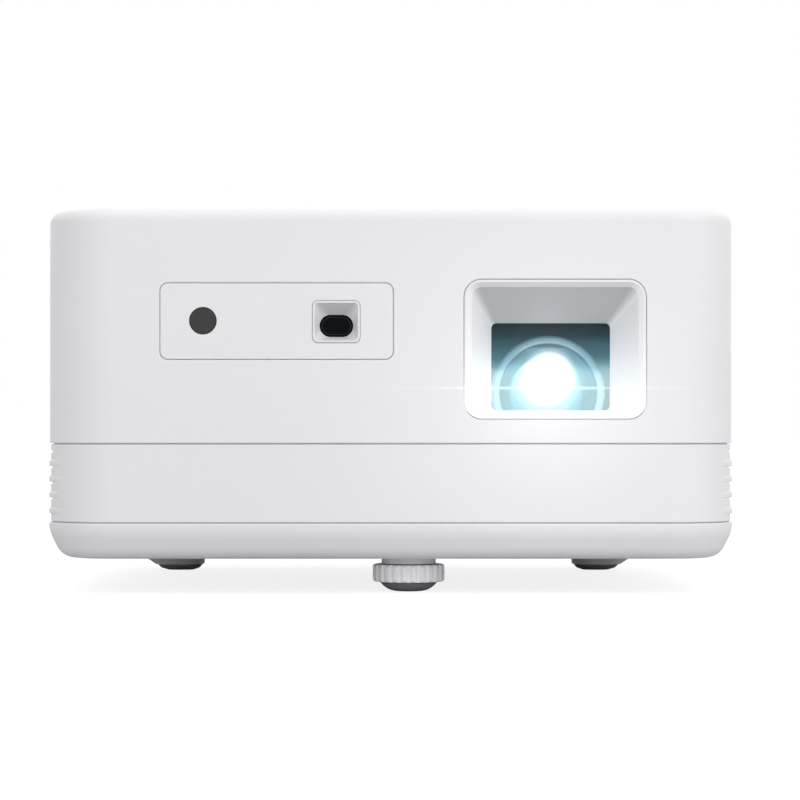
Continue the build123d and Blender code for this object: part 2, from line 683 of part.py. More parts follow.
def lens_holder():
    """The fixed tube that guides the barrel, its flange and three posts."""
    holder = rod_y(LENS_X, LENS_Z, HOLDER_R, HOLDER_Y0, HOLDER_Y1)
    holder += box(LENS_X - 38, LENS_X + 32, FLANGE_Y0, HOLDER_Y1, LENS_Z - 28, LENS_Z + 28)
    for x, z in holder_post_places():
        holder += rod_y(x, z, 2.0, RETAINER_Y1, FLANGE_Y0)
        holder -= rod_y(x, z, 0.8, RETAINER_Y1 - 1, RETAINER_Y1 + 6)
    return holder - rod_y(LENS_X, LENS_Z, BARREL_R + RUN_GAP, HOLDER_Y0 - 1, HOLDER_Y1 + 1)


def focus_retainer():
    """The flat ring, held on the posts, that keeps the focus ring in place."""
    plate = rod_y(LENS_X, LENS_Z, POST_CIRCLE_R + 2.3, RETAINER_Y1 - 1.5, RETAINER_Y1)
    plate -= rod_y(LENS_X, LENS_Z, BARREL_R + 0.5, RETAINER_Y1 - 3, RETAINER_Y1 + 1)
    for x, z in holder_post_places():
        plate -= rod_y(x, z, 0.85, RETAINER_Y1 - 3, RETAINER_Y1 + 1)
    return plate


def revolve_about_lens(points):
    """Turn (distance from the axis, y) points about the lens axis."""
    section = Plane(origin=(LENS_X, 0, LENS_Z), x_dir=(1, 0, 0), z_dir=(0, 0, 1))
    face = section * make_face(Polyline(*points, close=True))
    return revolve(face, Axis((LENS_X, 0, LENS_Z), (0, 1, 0)), 360)


FRONT_GLASS_R = 16.65
INNER_GLASS_R = 14.0
REAR_GLASS_R = 11.5
FRONT_GLASS_Y = -76.2
INNER_GLASS_Y = -64.0
REAR_GLASS_Y = -48.0


def lens_barrel():
    """The sliding tube, stepped inside to seat the glass."""
    return revolve_about_lens([
        (BARREL_R, BARREL_Y0), (BARREL_R, BARREL_Y1), (REAR_GLASS_R + 0.05, BARREL_Y1),
        (REAR_GLASS_R + 0.05, REAR_GLASS_Y - 1), (REAR_GLASS_R - 1.5, REAR_GLASS_Y - 1),
        (REAR_GLASS_R - 1.5, REAR_GLASS_Y - 3), (INNER_GLASS_R + 0.05, REAR_GLASS_Y - 8),
        (INNER_GLASS_R + 0.05, INNER_GLASS_Y - 1), (INNER_GLASS_R - 1.5, INNER_GLASS_Y - 1),
        (INNER_GLASS_R - 1.5, INNER_GLASS_Y - 2.5), (FRONT_GLASS_R - 1, FRONT_GLASS_Y + 8.2),
        (FRONT_GLASS_R - 1, FRONT_GLASS_Y + 6.2), (FRONT_GLASS_R + 0.05, FRONT_GLASS_Y + 6.2),
        (FRONT_GLASS_R + 0.05, BARREL_Y0),
    ])


def lens_front_ring():
    """The polished ring that caps the barrel and holds the front glass."""
    ring = revolve_about_lens([
        (BARREL_R, BARREL_Y0), (FRONT_GLASS_R + 0.05, BARREL_Y0), (FRONT_GLASS_R + 0.05, RING_Y0 + 1.2),
        (FRONT_GLASS_R - 0.4, RING_Y0 + 0.5), (FRONT_GLASS_R + 0.4, RING_Y0),
        (BARREL_R - 0.7, RING_Y0), (BARREL_R, RING_Y0 + 0.7),
    ])
    return ring


def glass_element(radius, y0, edge, front_bulge, back_bulge):
    """A round glass element with spherical faces and a plain ground edge."""
    front_r = (radius * radius + front_bulge * front_bulge) / (2 * front_bulge)
    back_r = (radius * radius + back_bulge * back_bulge) / (2 * back_bulge)
    y1 = y0 + edge
    disc = rod_y(LENS_X, LENS_Z, radius, y0 - front_bulge, y1 + back_bulge)
    disc &= Pos(LENS_X, y0 - front_bulge + front_r, LENS_Z) * Sphere(front_r)
    return disc & Pos(LENS_X, y1 + back_bulge - back_r, LENS_Z) * Sphere(back_r)


def lens_front_element():
    return glass_element(FRONT_GLASS_R, RING_Y0 + 2.6, 4.6, 2.0, 1.0)


def lens_inner_elements():
    middle = glass_element(INNER_GLASS_R, INNER_GLASS_Y + 0.2, 4.0, 1.2, 2.4)
    rear = glass_element(REAR_GLASS_R, REAR_GLASS_Y + 0.2, 4.0, 1.4, 2.0)
    return [middle, rear]


# ---------------------------------------------------------------- light engine

FLOOR_Z = ENGINE_Z0 + ENGINE_WALL
PLATE_Y0 = ENGINE_Y0 + ENGINE_WALL + 0.4
PLATE_Y1 = ENGINE_Y1 - ENGINE_WALL - 0.4
PLATE_Z1 = ENGINE_Z1 - 2.5
LED_HOLE = 12.0
CONE_X0 = -58.0
CONE_X1 = -40.0
CONDENSER_X = -37.0
LCD_X = -10.0
FIELD_LENS_XS = (-20.0, -4.0)


def engine_housing():
    """The sealed box that holds the light path."""
    wall = ENGINE_WALL
    housing = box(ENGINE_X0, ENGINE_X1, ENGINE_Y0, ENGINE_Y1, ENGINE_Z0, ENGINE_Z1)
    housing -= box(ENGINE_X0 + wall, ENGINE_X1 - wall, ENGINE_Y0 + wall, ENGINE_Y1 - wall,
                   FLOOR_Z, ENGINE_Z1 + 1)
    for x in (ENGINE_X0 + 4, ENGINE_X1 - 4):
        for y in (ENGINE_Y0 + 4, ENGINE_Y1 - 4):
            housing += box(x - 3, x + 3, y - 3, y + 3, FLOOR_Z - 0.5, ENGINE_Z1)
            housing -= rod_z(x, y, SCREW_R + RUN_GAP, ENGINE_Z1 - 10, ENGINE_Z1 + 1)
    housing -= rod_y(LENS_X, LENS_Z, BARREL_R + 0.6, ENGINE_Y0 - 1, ENGINE_Y0 + wall + 1)
    housing -= box(ENGINE_X0 - 1, ENGINE_X0 + wall + 1, AXIS_Y - LED_HOLE, AXIS_Y + LED_HOLE,
                   LENS_Z - LED_HOLE, LENS_Z + LED_HOLE)
    for x, y in engine_posts():
        housing -= rod_z(x, y, SCREW_R + RUN_GAP, ENGINE_Z0 - 1, FLOOR_Z + 1)
    return housing


def engine_cover():
    cover = box(ENGINE_X0, ENGINE_X1, ENGINE_Y0, ENGINE_Y1, ENGINE_Z1, ENGINE_Z1 + 2)
    for x in (ENGINE_X0 + 4, ENGINE_X1 - 4):
        for y in (ENGINE_Y0 + 4, ENGINE_Y1 - 4):
            cover -= rod_z(x, y, SCREW_R + RUN_GAP, ENGINE_Z1 - 1, ENGINE_Z1 + 3)
    return cover


def screw_z(x, y, seat_z, reach):
    """A pan-head screw driven down onto a level seat."""
    return rod_z(x, y, 2.6, seat_z, seat_z + 1.8) + rod_z(x, y, SCREW_R, seat_z - reach, seat_z)


def engine_screws():
    screws = [screw_z(x, y, FLOOR_Z, 8) for x, y in engine_posts()]
    for x in (ENGINE_X0 + 4, ENGINE_X1 - 4):
        for y in (ENGINE_Y0 + 4, ENGINE_Y1 - 4):
            screws.append(screw_z(x, y, ENGINE_Z1 + 2, 8))
    return screws


def fold_mirror():
    """A flat mirror at 45 degrees that turns the light forwards into the lens."""
    length = 60.0
    thickness = 2.0
    height = PLATE_Z1 - FLOOR_Z
    plate = Box(length, thickness, height)
    shift = thickness / 2 / sqrt(2)
    return Pos(LENS_X + shift, AXIS_Y + shift, FLOOR_Z + height / 2) * Rot(0, 0, -45) * plate


def optic_plate(x, thickness):
    return box(x, x + thickness, PLATE_Y0, PLATE_Y1, FLOOR_Z, PLATE_Z1)


def lcd_panel():
    """The image panel: a glass sheet in a thin frame."""
    frame = optic_plate(LCD_X, 2.4)
    return frame - box(LCD_X - 1, LCD_X + 0.6, AXIS_Y - 30, AXIS_Y + 30, LENS_Z - 17, LENS_Z + 17)


def field_lenses():
    return [optic_plate(x, 2.0) for x in FIELD_LENS_XS]


def condenser_lens():
    """A plano-convex glass that gathers the lamp's light, on a moulded foot."""
    radius = 20.0
    bulge = 6.0
    edge_x = CONDENSER_X + 2
    crown_z = LENS_Z + radius * 0.6
    ball_r = (radius * radius + bulge * bulge) / (2 * bulge)
    crown_x = edge_x + bulge - ball_r + sqrt(ball_r * ball_r - (crown_z - LENS_Z) ** 2)
    section = [
        Polyline((edge_x + bulge, LENS_Z), (CONDENSER_X, LENS_Z), (CONDENSER_X, LENS_Z + radius),
                 (edge_x, LENS_Z + radius)),
        ThreePointArc((edge_x, LENS_Z + radius), (crown_x, crown_z), (edge_x + bulge, LENS_Z)),
    ]
    plane = Plane(origin=(0, AXIS_Y, 0), x_dir=(1, 0, 0), z_dir=(0, -1, 0))
    glass = revolve(plane * make_face(section), Axis((0, AXIS_Y, LENS_Z), (1, 0, 0)), 360)
    return glass + box(CONDENSER_X, edge_x, AXIS_Y - 10, AXIS_Y + 10, FLOOR_Z, LENS_Z - radius + 4)


def cone_section(x, width, height):
    plane = Plane(origin=(x, AXIS_Y, LENS_Z), x_dir=(0, 1, 0), z_dir=(1, 0, 0))
    return plane * Rectangle(width, height)


def light_cone():
    """The square reflector between the lamp and the condenser."""
    skin = 2.0
    outer = loft([cone_section(CONE_X0, 11 + skin, 11 + skin), cone_section(CONE_X1, 44 + skin, 40 + skin)],
                 ruled=True)
    inner = loft([cone_section(CONE_X0 - 0.01, 11, 11), cone_section(CONE_X1 + 0.01, 44, 40)], ruled=True)
    stand = box(CONE_X1 - 2, CONE_X1, AXIS_Y - 12, AXIS_Y + 12, FLOOR_Z, LENS_Z - 20)
    return outer - inner + stand


def led_module():
    board = box(ENGINE_X0 - 2, ENGINE_X0, AXIS_Y - 15, AXIS_Y + 15, LENS_Z - 15, LENS_Z + 15)
    board += box(ENGINE_X0, ENGINE_X0 + 1.2, AXIS_Y - 4, AXIS_Y + 4, LENS_Z - 4, LENS_Z + 4)
    dome = Pos(ENGINE_X0 + 1.2, AXIS_Y, LENS_Z) * Sphere(3.4)
    keep = box(ENGINE_X0 + 1.2, ENGINE_X0 + 6, AXIS_Y - 5, AXIS_Y + 5, LENS_Z - 5, LENS_Z + 5)
    return board + (dome & keep)


# ---------------------------------------------------------------- cooling

SINK_X0 = -98.0
SINK_Y0 = -28.0
SINK_Y1 = 60.0
SINK_Z0 = 48.0
FIN_COUNT = 14
FIN_PITCH = 3.0
FIN_T = 1.0


def led_heatsink():
    """A finned block behind the lamp; the fins lie along the air's way out."""
    base_x1 = ENGINE_X0 - 2
    sink_z1 = SINK_Z0 + (FIN_COUNT - 1) * FIN_PITCH + FIN_T
    sink = box(base_x1 - 4, base_x1, SINK_Y0, SINK_Y1, SINK_Z0, sink_z1)
    for index in range(FIN_COUNT):
        z = SINK_Z0 + index * FIN_PITCH
        sink += box(SINK_X0, base_x1 - 3, SINK_Y0, SINK_Y1, z, z + FIN_T)
    return sink


HUB_R = 13.0
BORE_R = 28.3
BLADE_R = 27.5
BLADE_COUNT = 7
SHAFT_R = 1.5
STATOR_Y0 = FAN_Y1 - 3.0


def fan_corner_places():
    return [(FAN_X + x, FAN_Z + z) for x in (-FAN_HOLE, FAN_HOLE) for z in (-FAN_HOLE, FAN_HOLE)]


def fan_frame():
    frame = plate_y(FAN_X, FAN_Z, FAN_SIZE, FAN_SIZE, 3.5, FAN_Y0, FAN_Y1)
    frame -= rod_y(FAN_X, FAN_Z, BORE_R, FAN_Y0 - 1, FAN_Y1 + 1)
    frame += rod_y(FAN_X, FAN_Z, HUB_R, STATOR_Y0 + 0.5, FAN_Y1)
    for index in range(4):
        arm = box(HUB_R - 1, BORE_R + 1, STATOR_Y0 + 0.5, FAN_Y1, -1.1, 1.1)
        frame += Pos(FAN_X, 0, FAN_Z) * Rot(0, 45 + 90 * index, 0) * arm
    frame += rod_y(FAN_X, FAN_Z, 3.0, FAN_Y0 + 5, STATOR_Y0 + 1)
    frame -= rod_y(FAN_X, FAN_Z, SHAFT_R + RUN_GAP, FAN_Y0 + 4, FAN_Y1 - 1)
    for x, z in fan_corner_places():
        frame -= rod_y(x, z, SCREW_R + RUN_GAP, FAN_Y0 - 1, FAN_Y1 + 1)
    return frame


def fan_rotor():
    """Hub, blades and shaft, which turn as one."""
    hub_y0 = FAN_Y0 + 0.8
    hub_y1 = STATOR_Y0
    rotor = rod_y(FAN_X, FAN_Z, HUB_R, hub_y0, hub_y1)
    rotor = fillet(front_edges(rotor), 1.0)
    rotor -= rod_y(FAN_X, FAN_Z, HUB_R - 1.4, hub_y0 + 1.6, hub_y1 + 1)
    rotor += rod_y(FAN_X, FAN_Z, SHAFT_R, hub_y0 + 1, FAN_Y1 - 2)
    middle_y = (hub_y0 + hub_y1) / 2
    blade = Pos(0, 0, (HUB_R + BLADE_R) / 2) * Rot(0, 0, 38) * Box(15.0, 1.1, BLADE_R - HUB_R + 4)
    ring = rod_y(0, 0, BLADE_R, -4.9, 4.9) - rod_y(0, 0, HUB_R - 0.6, -6, 6)
    blade = blade & ring
    for index in range(BLADE_COUNT):
        rotor += Pos(FAN_X, middle_y, FAN_Z) * Rot(0, 360 * index / BLADE_COUNT, 0) * blade
    return rotor


def fan_duct():
    """The thin duct from the fins to the fan."""
    skin = 2.4
    y0 = SINK_Y1 + 0.5
    y1 = FAN_Y0
    inlet_x = (SINK_X0 + ENGINE_X0) / 2 - 0.5
    inlet_z = SINK_Z0 + 21
    inlet_w = 32.0
    inlet_h = 42.0
    outlet = 50.0
    outer = loft([
        frame_section(inlet_x, inlet_z, inlet_w + skin, inlet_h + skin, 3, y0),
        frame_section(FAN_X, FAN_Z, outlet + skin, outlet + skin, 16, y1),
    ], ruled=True)
    inner = loft([
        frame_section(inlet_x, inlet_z, inlet_w, inlet_h, 2, y0 - 0.01),
        frame_section(FAN_X, FAN_Z, outlet, outlet, 15, y1 + 0.01),
    ], ruled=True)
    return outer - inner


def fan_screws():
    screws = []
    for x, z in fan_corner_places():
        screw = rod_y(x, z, 2.6, FAN_Y0 - 1.8, FAN_Y0)
        screws.append(screw + rod_y(x, z, SCREW_R, FAN_Y0, BACK_Y - 1.2))
    return screws


def rear_grille():
    """The slotted outlet in the back, with four pads that the fan is screwed to."""
    slot_h = 2.2
    slot_pitch = 4.4
    slot_count = 9
    grille = plate_y(FAN_X, FAN_Z, GRILLE_W, GRILLE_H, BACK_PLATE_R, BACK_Y - WALL, BACK_Y)
    grille = fillet(back_edges(grille), EDGE_SOFT)
    for x, z in fan_corner_places():
        grille += rod_y(x, z, 3.2, FAN_Y1, BACK_Y - WALL + 0.5)
        grille -= rod_y(x, z, SCREW_R + RUN_GAP, FAN_Y1 - 1, BACK_Y - 1)
    for column in (-1, 0, 1):
        for row in range(slot_count):
            z = FAN_Z + (row - (slot_count - 1) / 2) * slot_pitch
            grille -= plate_y(FAN_X + column * 18.2, z, 16.4, slot_h, 1.0, BACK_Y - WALL - 1, BACK_Y + 1)
    return grille


# ---------------------------------------------------------------- electronics

MAIN_X0 = -24.0
MAIN_X1 = 57.0
MAIN_Y0 = 43.0
SOCKET_Y1 = BACK_Y - 0.6
MAIN_TOP = MAIN_Z + BOARD_T


def main_board():
    board = box(MAIN_X0, MAIN_X1, MAIN_Y0, BACK_Y - WALL - 1.2, MAIN_Z, MAIN_TOP)
    for x, y in main_board_posts():
        board -= rod_z(x, y, SCREW_R + RUN_GAP, MAIN_Z - 1, MAIN_TOP + 1)
    return board


def board_chips():
    """The larger parts on the main board."""
    chips = [box(4, 20, 56, 72, MAIN_TOP, MAIN_TOP + 1.6)]
    chips += [box(26, 38, y, y + 9, MAIN_TOP, MAIN_TOP + 1.2) for y in (50, 62)]
    chips += [rod_z(x, 80, 3.0, MAIN_TOP, MAIN_TOP + 7) for x in (-14, -6)]
    chips += [box(-16, -4, 54, 66, MAIN_TOP, MAIN_TOP + 4.5)]
    chips += [box(42, 54, 60, 76, MAIN_TOP, MAIN_TOP + 2.2)]
    return chips


def hdmi_socket():
    """The wide video socket, a folded metal shell with its tongue."""
    y0 = SOCKET_Y1 - 12
    socket = box(HDMI_X - 7.5, HDMI_X + 7.5, y0, SOCKET_Y1, MAIN_TOP, MAIN_TOP + 6.0)
    socket -= box(HDMI_X - 7.0, HDMI_X + 7.0, y0 + 2, SOCKET_Y1 + 1, MAIN_TOP + 0.6, MAIN_TOP + 5.4)
    return socket + box(HDMI_X - 5.5, HDMI_X + 5.5, y0 + 1, SOCKET_Y1 - 2, MAIN_TOP + 2.6, MAIN_TOP + 3.5)


def usb_socket():
    y0 = SOCKET_Y1 - 13
    socket = box(USB_X - 6.8, USB_X + 6.8, y0, SOCKET_Y1, MAIN_TOP, MAIN_TOP + 6.4)
    socket -= box(USB_X - 6.3, USB_X + 6.3, y0 + 2, SOCKET_Y1 + 1, MAIN_TOP + 0.6, MAIN_TOP + 5.8)
    return socket + box(USB_X - 5.6, USB_X + 5.6, y0 + 1, SOCKET_Y1 - 1.5, MAIN_TOP + 3.4, MAIN_TOP + 5.2)


def audio_socket():
    y0 = SOCKET_Y1 - 12
    socket = box(AUDIO_X - 3.2, AUDIO_X + 3.2, y0, SOCKET_Y1 - 2, MAIN_TOP, MAIN_TOP + 6.0)
    socket += rod_y(AUDIO_X, MAIN_TOP + 3.0, 2.9, SOCKET_Y1 - 3, SOCKET_Y1)
    return socket - rod_y(AUDIO_X, MAIN_TOP + 3.0, 1.78, y0 + 1, SOCKET_Y1 + 1)


def io_plate():
    """The panel round the sockets."""
    plate = plate_y(IO_X, IO_Z, IO_W, IO_H, BACK_PLATE_R, BACK_Y - WALL, BACK_Y)
    plate = fillet(back_edges(plate), EDGE_SOFT)
    plate -= plate_y(HDMI_X, MAIN_TOP + 3.0, 15.6, 6.6, 1.0, BACK_Y - WALL - 1, BACK_Y + 1)
    plate -= plate_y(USB_X, MAIN_TOP + 3.2, 14.2, 7.0, 0.6, BACK_Y - WALL - 1, BACK_Y + 1)
    plate -= rod_y(AUDIO_X, MAIN_TOP + 3.0, 3.1, BACK_Y - WALL - 1, BACK_Y + 1)
    plate -= plate_y(INLET_X, INLET_Z, 23.4, 13.4, 5.0, BACK_Y - WALL - 1, BACK_Y + 1)
    return plate


INLET_DEPTH = 11.0


def mains_inlet():
    """The two-pin inlet: a recessed figure-eight shell."""
    inlet = plate_y(INLET_X, INLET_Z, 23.0, 13.0, 4.8, BACK_Y - INLET_DEPTH - 3, BACK_Y - 0.2)
    inlet -= plate_y(INLET_X, INLET_Z, 17.6, 8.6, 4.2, BACK_Y - INLET_DEPTH, BACK_Y + 1)
    for side in (-1, 1):
        inlet -= rod_y(INLET_X + side * 4.3, INLET_Z, 1.2, BACK_Y - INLET_DEPTH - 4, BACK_Y)
    return inlet


def mains_pins():
    pins = []
    for side in (-1, 1):
        pin = rod_y(INLET_X + side * 4.3, INLET_Z, 1.2, BACK_Y - INLET_DEPTH - 6, BACK_Y - 3.5)
        pins.append(fillet(back_edges(pin), 0.6))
    return pins


def supply_board():
    board = box(-13, 88, 42, 84, SUPPLY_Z, SUPPLY_Z + BOARD_T)
    for x, y in supply_posts():
        board -= rod_z(x, y, SCREW_R + RUN_GAP, SUPPLY_Z - 1, SUPPLY_Z + BOARD_T + 1)
    for x, y in main_board_posts():
        board -= rod_z(x, y, 3.6, SUPPLY_Z - 1, SUPPLY_Z + BOARD_T + 1)
    return board


def supply_parts():
    """Transformer, reservoir capacitors, choke and heat spreader."""
    top = SUPPLY_Z + BOARD_T
    parts = [box(20, 44, 54, 76, top, top + 20)]
    parts += [rod_z(x, 66, 8.0, top, top + 26) for x in (2, 64)]
    parts += [box(56, 76, 45, 48, top, top + 22)]
    parts += [rod_z(0, 50, 5.0, top, top + 16)]
    return parts


def board_screws():
    screws = [screw_z(x, y, MAIN_TOP, 6) for x, y in main_board_posts()]
    screws += [screw_z(x, y, SUPPLY_Z + BOARD_T, 5) for x, y in supply_posts()]
    return screws


# ---------------------------------------------------------------- speakers

SPEAKER_X0 = 89.0
SPEAKER_X1 = 105.5
SPEAKER_Y = -51.0
SPEAKER_L = 44.0
SPEAKER_Z0 = UNDERSIDE_Z + WALL
SPEAKER_Z1 = 47.0
SPEAKER_Z = 35.0
CONE_L = 34.0
CONE_H = 17.0


def sideways(x, side):
    """A plane that looks out of one side of the case."""
    return Plane(origin=(side * x, SPEAKER_Y, SPEAKER_Z), x_dir=(0, 1, 0), z_dir=(side, 0, 0))


def speaker_box(side):
    y0 = SPEAKER_Y - SPEAKER_L / 2
    y1 = SPEAKER_Y + SPEAKER_L / 2
    x0 = min(side * SPEAKER_X0, side * SPEAKER_X1)
    x1 = max(side * SPEAKER_X0, side * SPEAKER_X1)
    cabinet = box(x0, x1, y0, y1, SPEAKER_Z0 + 6.6, SPEAKER_Z1)
    cabinet -= sideways(SPEAKER_X0 + 2, side) * extrude(RectangleRounded(CONE_L + 4, CONE_H + 3, 9.5),
                                                       SPEAKER_X1 - SPEAKER_X0)
    for y in (y0 + 4, y1 - 4):
        cabinet += rod_z(side * 96.0, y, 2.5, SPEAKER_Z0, SPEAKER_Z0 + 7)
    return cabinet


def speaker_cone(side):
    """A shallow racetrack diaphragm with its rolled surround."""
    outer = RectangleRounded(CONE_L + 4, CONE_H + 3, 9.5)
    rim = sideways(SPEAKER_X1 - 1.6, side) * extrude(outer, 1.2)
    rim -= sideways(SPEAKER_X1 - 2, side) * extrude(RectangleRounded(CONE_L - 2, CONE_H - 2, 7), 2)
    dish = loft([
        sideways(SPEAKER_X1 - 6.0, side) * RectangleRounded(14, 8, 3.9),
        sideways(SPEAKER_X1 - 1.0, side) * RectangleRounded(CONE_L - 1, CONE_H - 1, 7.5),
    ], ruled=True)
    dish -= loft([
        sideways(SPEAKER_X1 - 5.0, side) * RectangleRounded(12, 6, 2.9),
        sideways(SPEAKER_X1 + 0.0, side) * RectangleRounded(CONE_L - 3, CONE_H - 3, 6.5),
    ], ruled=True)
    return rim + dish


def speaker_magnet(side):
    return sideways(SPEAKER_X0 + 2, side) * extrude(Circle(7.5), 6.0)


# ---------------------------------------------------------------- sensors and button

def sensor_board():
    board = box(PANEL_X - 34, PANEL_X + 34, SENSOR_BOARD_Y, SENSOR_BOARD_Y + 1.2, PANEL_Z - 9, PANEL_Z + 9)
    board += box(SENSOR_X - 4.5, SENSOR_X + 4.5, SENSOR_BOARD_Y - 2.6, SENSOR_BOARD_Y,
                 EYE_Z - 3.2, EYE_Z + 3.2)
    return board


def ir_receiver():
    """The remote control's receiver: a small block with a domed face."""
    body = box(IR_X - 3, IR_X + 3, SENSOR_BOARD_Y - 3, SENSOR_BOARD_Y, IR_Z - 3.5, IR_Z + 3.5)
    dome = Pos(IR_X, SENSOR_BOARD_Y - 3, IR_Z) * Sphere(2.4)
    front = box(IR_X - 3, IR_X + 3, SENSOR_BOARD_Y - 6, SENSOR_BOARD_Y - 2.9, IR_Z - 3, IR_Z + 3)
    return body + (dome & front)


BUTTON_TRAVEL = 0.5
SWITCH_HEIGHT = 2.4
SWITCH_TOP_Z = BUTTON_BOARD_Z + BOARD_T + SWITCH_HEIGHT


def power_button():
    """A round cap, flush with the top, on a flange that stops it coming out."""
    cap_z1 = HEIGHT - 0.15
    cap_z0 = HEIGHT - WALL - CLEAR
    button = rod_z(BUTTON_X, BUTTON_Y, BUTTON_R, cap_z0, cap_z1)
    button = fillet(top_edges(button), 0.5)
    button += rod_z(BUTTON_X, BUTTON_Y, BUTTON_R + 1.6, cap_z0 - 1.2, cap_z0)
    return button + rod_z(BUTTON_X, BUTTON_Y, 2.0, SWITCH_TOP_Z + BUTTON_TRAVEL + 0.5, cap_z0)


def button_board():
    board = box(BUTTON_X - 16, BUTTON_X + 16, BUTTON_Y - 7, BUTTON_Y + 7,
                BUTTON_BOARD_Z, BUTTON_BOARD_Z + BOARD_T)
    top = BUTTON_BOARD_Z + BOARD_T
    return board + box(BUTTON_X - 3, BUTTON_X + 3, BUTTON_Y - 3, BUTTON_Y + 3, top, SWITCH_TOP_Z)


# ---------------------------------------------------------------- every node

save("upper_cover", upper_cover())
save("vent_band", vent_band())
save("bottom_tray", bottom_tray())
save("case_posts", *[case_post(x, y) for x, y in post_places()])
save("standoffs", *standoffs())
save("foot_mounts", foot_collar(), rear_foot(-1), rear_foot(1))
save("case_screws", *[case_screw(x, y) for x, y in post_places()])
save("tripod_insert", tripod_insert())
save("rear_foot_pads", rear_pad(-1), rear_pad(1))
save("lens_bezel", lens_bezel())
save("lens_window", lens_window())
save("sensor_panel", sensor_panel())
save("ir_window", ir_window())
save("sensor_bezel", sensor_bezel())
save("sensor_window", sensor_window())
save("sensor_board", sensor_board())
save("ir_receiver", ir_receiver())
save("foot_insert", foot_insert())
save("foot_wheel", foot_wheel())
save("foot_stud", foot_stud())
save("foot_pad", foot_pad())
save("foot_pivot", foot_pivot())
save("lens_holder", lens_holder())
save("lens_barrel", lens_barrel())
save("lens_front_ring", lens_front_ring())
save("lens_front_element", lens_front_element())
save("lens_inner_elements", *lens_inner_elements())
save("focus_ring", focus_ring())
save("focus_retainer", focus_retainer())
save("focus_motor", focus_motor())
save("focus_pinion", focus_pinion())
save("engine_housing", engine_housing())
save("engine_cover", engine_cover())
save("fold_mirror", fold_mirror())
save("lcd_panel", lcd_panel())
save("field_lenses", *field_lenses())
save("condenser_lens", condenser_lens())
save("light_cone", light_cone())
save("led_module", led_module())
save("led_heatsink", led_heatsink())
save("fan_frame", fan_frame())
save("fan_rotor", fan_rotor())
save("fan_duct", fan_duct())
save("rear_grille", rear_grille())
save("io_plate", io_plate())
save("main_board", main_board())
save("board_chips", *board_chips())
save("inner_screws", *engine_screws(), *board_screws(), *fan_screws())
save("hdmi_socket", hdmi_socket())
save("usb_socket", usb_socket())
save("audio_socket", audio_socket())
save("mains_inlet", mains_inlet())
save("mains_pins", *mains_pins())
save("supply_board", supply_board())
save("supply_parts", *supply_parts())
save("speaker_boxes", speaker_box(-1), speaker_box(1))
save("speaker_cones", speaker_cone(-1), speaker_cone(1))
save("speaker_magnets", speaker_magnet(-1), speaker_magnet(1))
save("power_button", power_button())
save("button_board", button_board())
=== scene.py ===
from math import cos, pi, radians, sin

import bmesh
import bpy
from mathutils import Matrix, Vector


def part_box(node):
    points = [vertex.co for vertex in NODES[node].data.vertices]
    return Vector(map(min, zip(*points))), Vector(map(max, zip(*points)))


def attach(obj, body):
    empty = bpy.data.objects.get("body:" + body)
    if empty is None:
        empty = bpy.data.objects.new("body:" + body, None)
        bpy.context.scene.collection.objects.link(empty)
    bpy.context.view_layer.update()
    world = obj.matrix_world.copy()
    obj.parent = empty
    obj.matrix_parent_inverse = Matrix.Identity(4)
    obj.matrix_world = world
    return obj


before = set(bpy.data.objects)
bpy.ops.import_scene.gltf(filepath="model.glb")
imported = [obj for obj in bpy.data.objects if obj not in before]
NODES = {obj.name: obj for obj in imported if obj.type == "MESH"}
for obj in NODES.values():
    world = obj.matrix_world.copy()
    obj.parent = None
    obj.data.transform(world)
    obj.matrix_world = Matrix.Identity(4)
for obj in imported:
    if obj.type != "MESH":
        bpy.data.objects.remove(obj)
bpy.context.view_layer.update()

# A white home projector on a pale floor. The CAD nodes keep their shapes and get
# their finishes here; two fine pieces that only matter to the eye are added.

MM = 0.001


def middle(node):
    """The centre of a CAD node's box."""
    low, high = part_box(node)
    return Vector([(a + b) / 2 for a, b in zip(low, high)])


FRONT_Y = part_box("upper_cover")[0].y
lens_centre = middle("lens_front_ring")
LENS_X = lens_centre.x
LENS_Z = lens_centre.z
ring_low, ring_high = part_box("lens_front_ring")
RING_FRONT_Y = ring_low.y
RING_R = (ring_high.x - ring_low.x) / 2


# ---------------------------------------------------------------- camera

CAMERA_DISTANCE = 0.850
CAMERA_HEIGHT = 0.054
CAMERA_X = -0.006
FOCAL_MM = 118.6
SHIFT_X = 0.0344
SHIFT_Y = 0.0350


def add_camera():
    data = bpy.data.cameras.new("camera")
    data.lens = FOCAL_MM
    data.sensor_width = 36.0
    data.shift_x = SHIFT_X
    data.shift_y = SHIFT_Y
    data.clip_start = 0.01
    data.clip_end = 100.0
    camera = bpy.data.objects.new("camera", data)
    camera.location = (CAMERA_X, FRONT_Y - CAMERA_DISTANCE, CAMERA_HEIGHT)
    camera.rotation_euler = (radians(90), 0, 0)
    bpy.context.scene.collection.objects.link(camera)
    bpy.context.scene.camera = camera


# ---------------------------------------------------------------- material tools

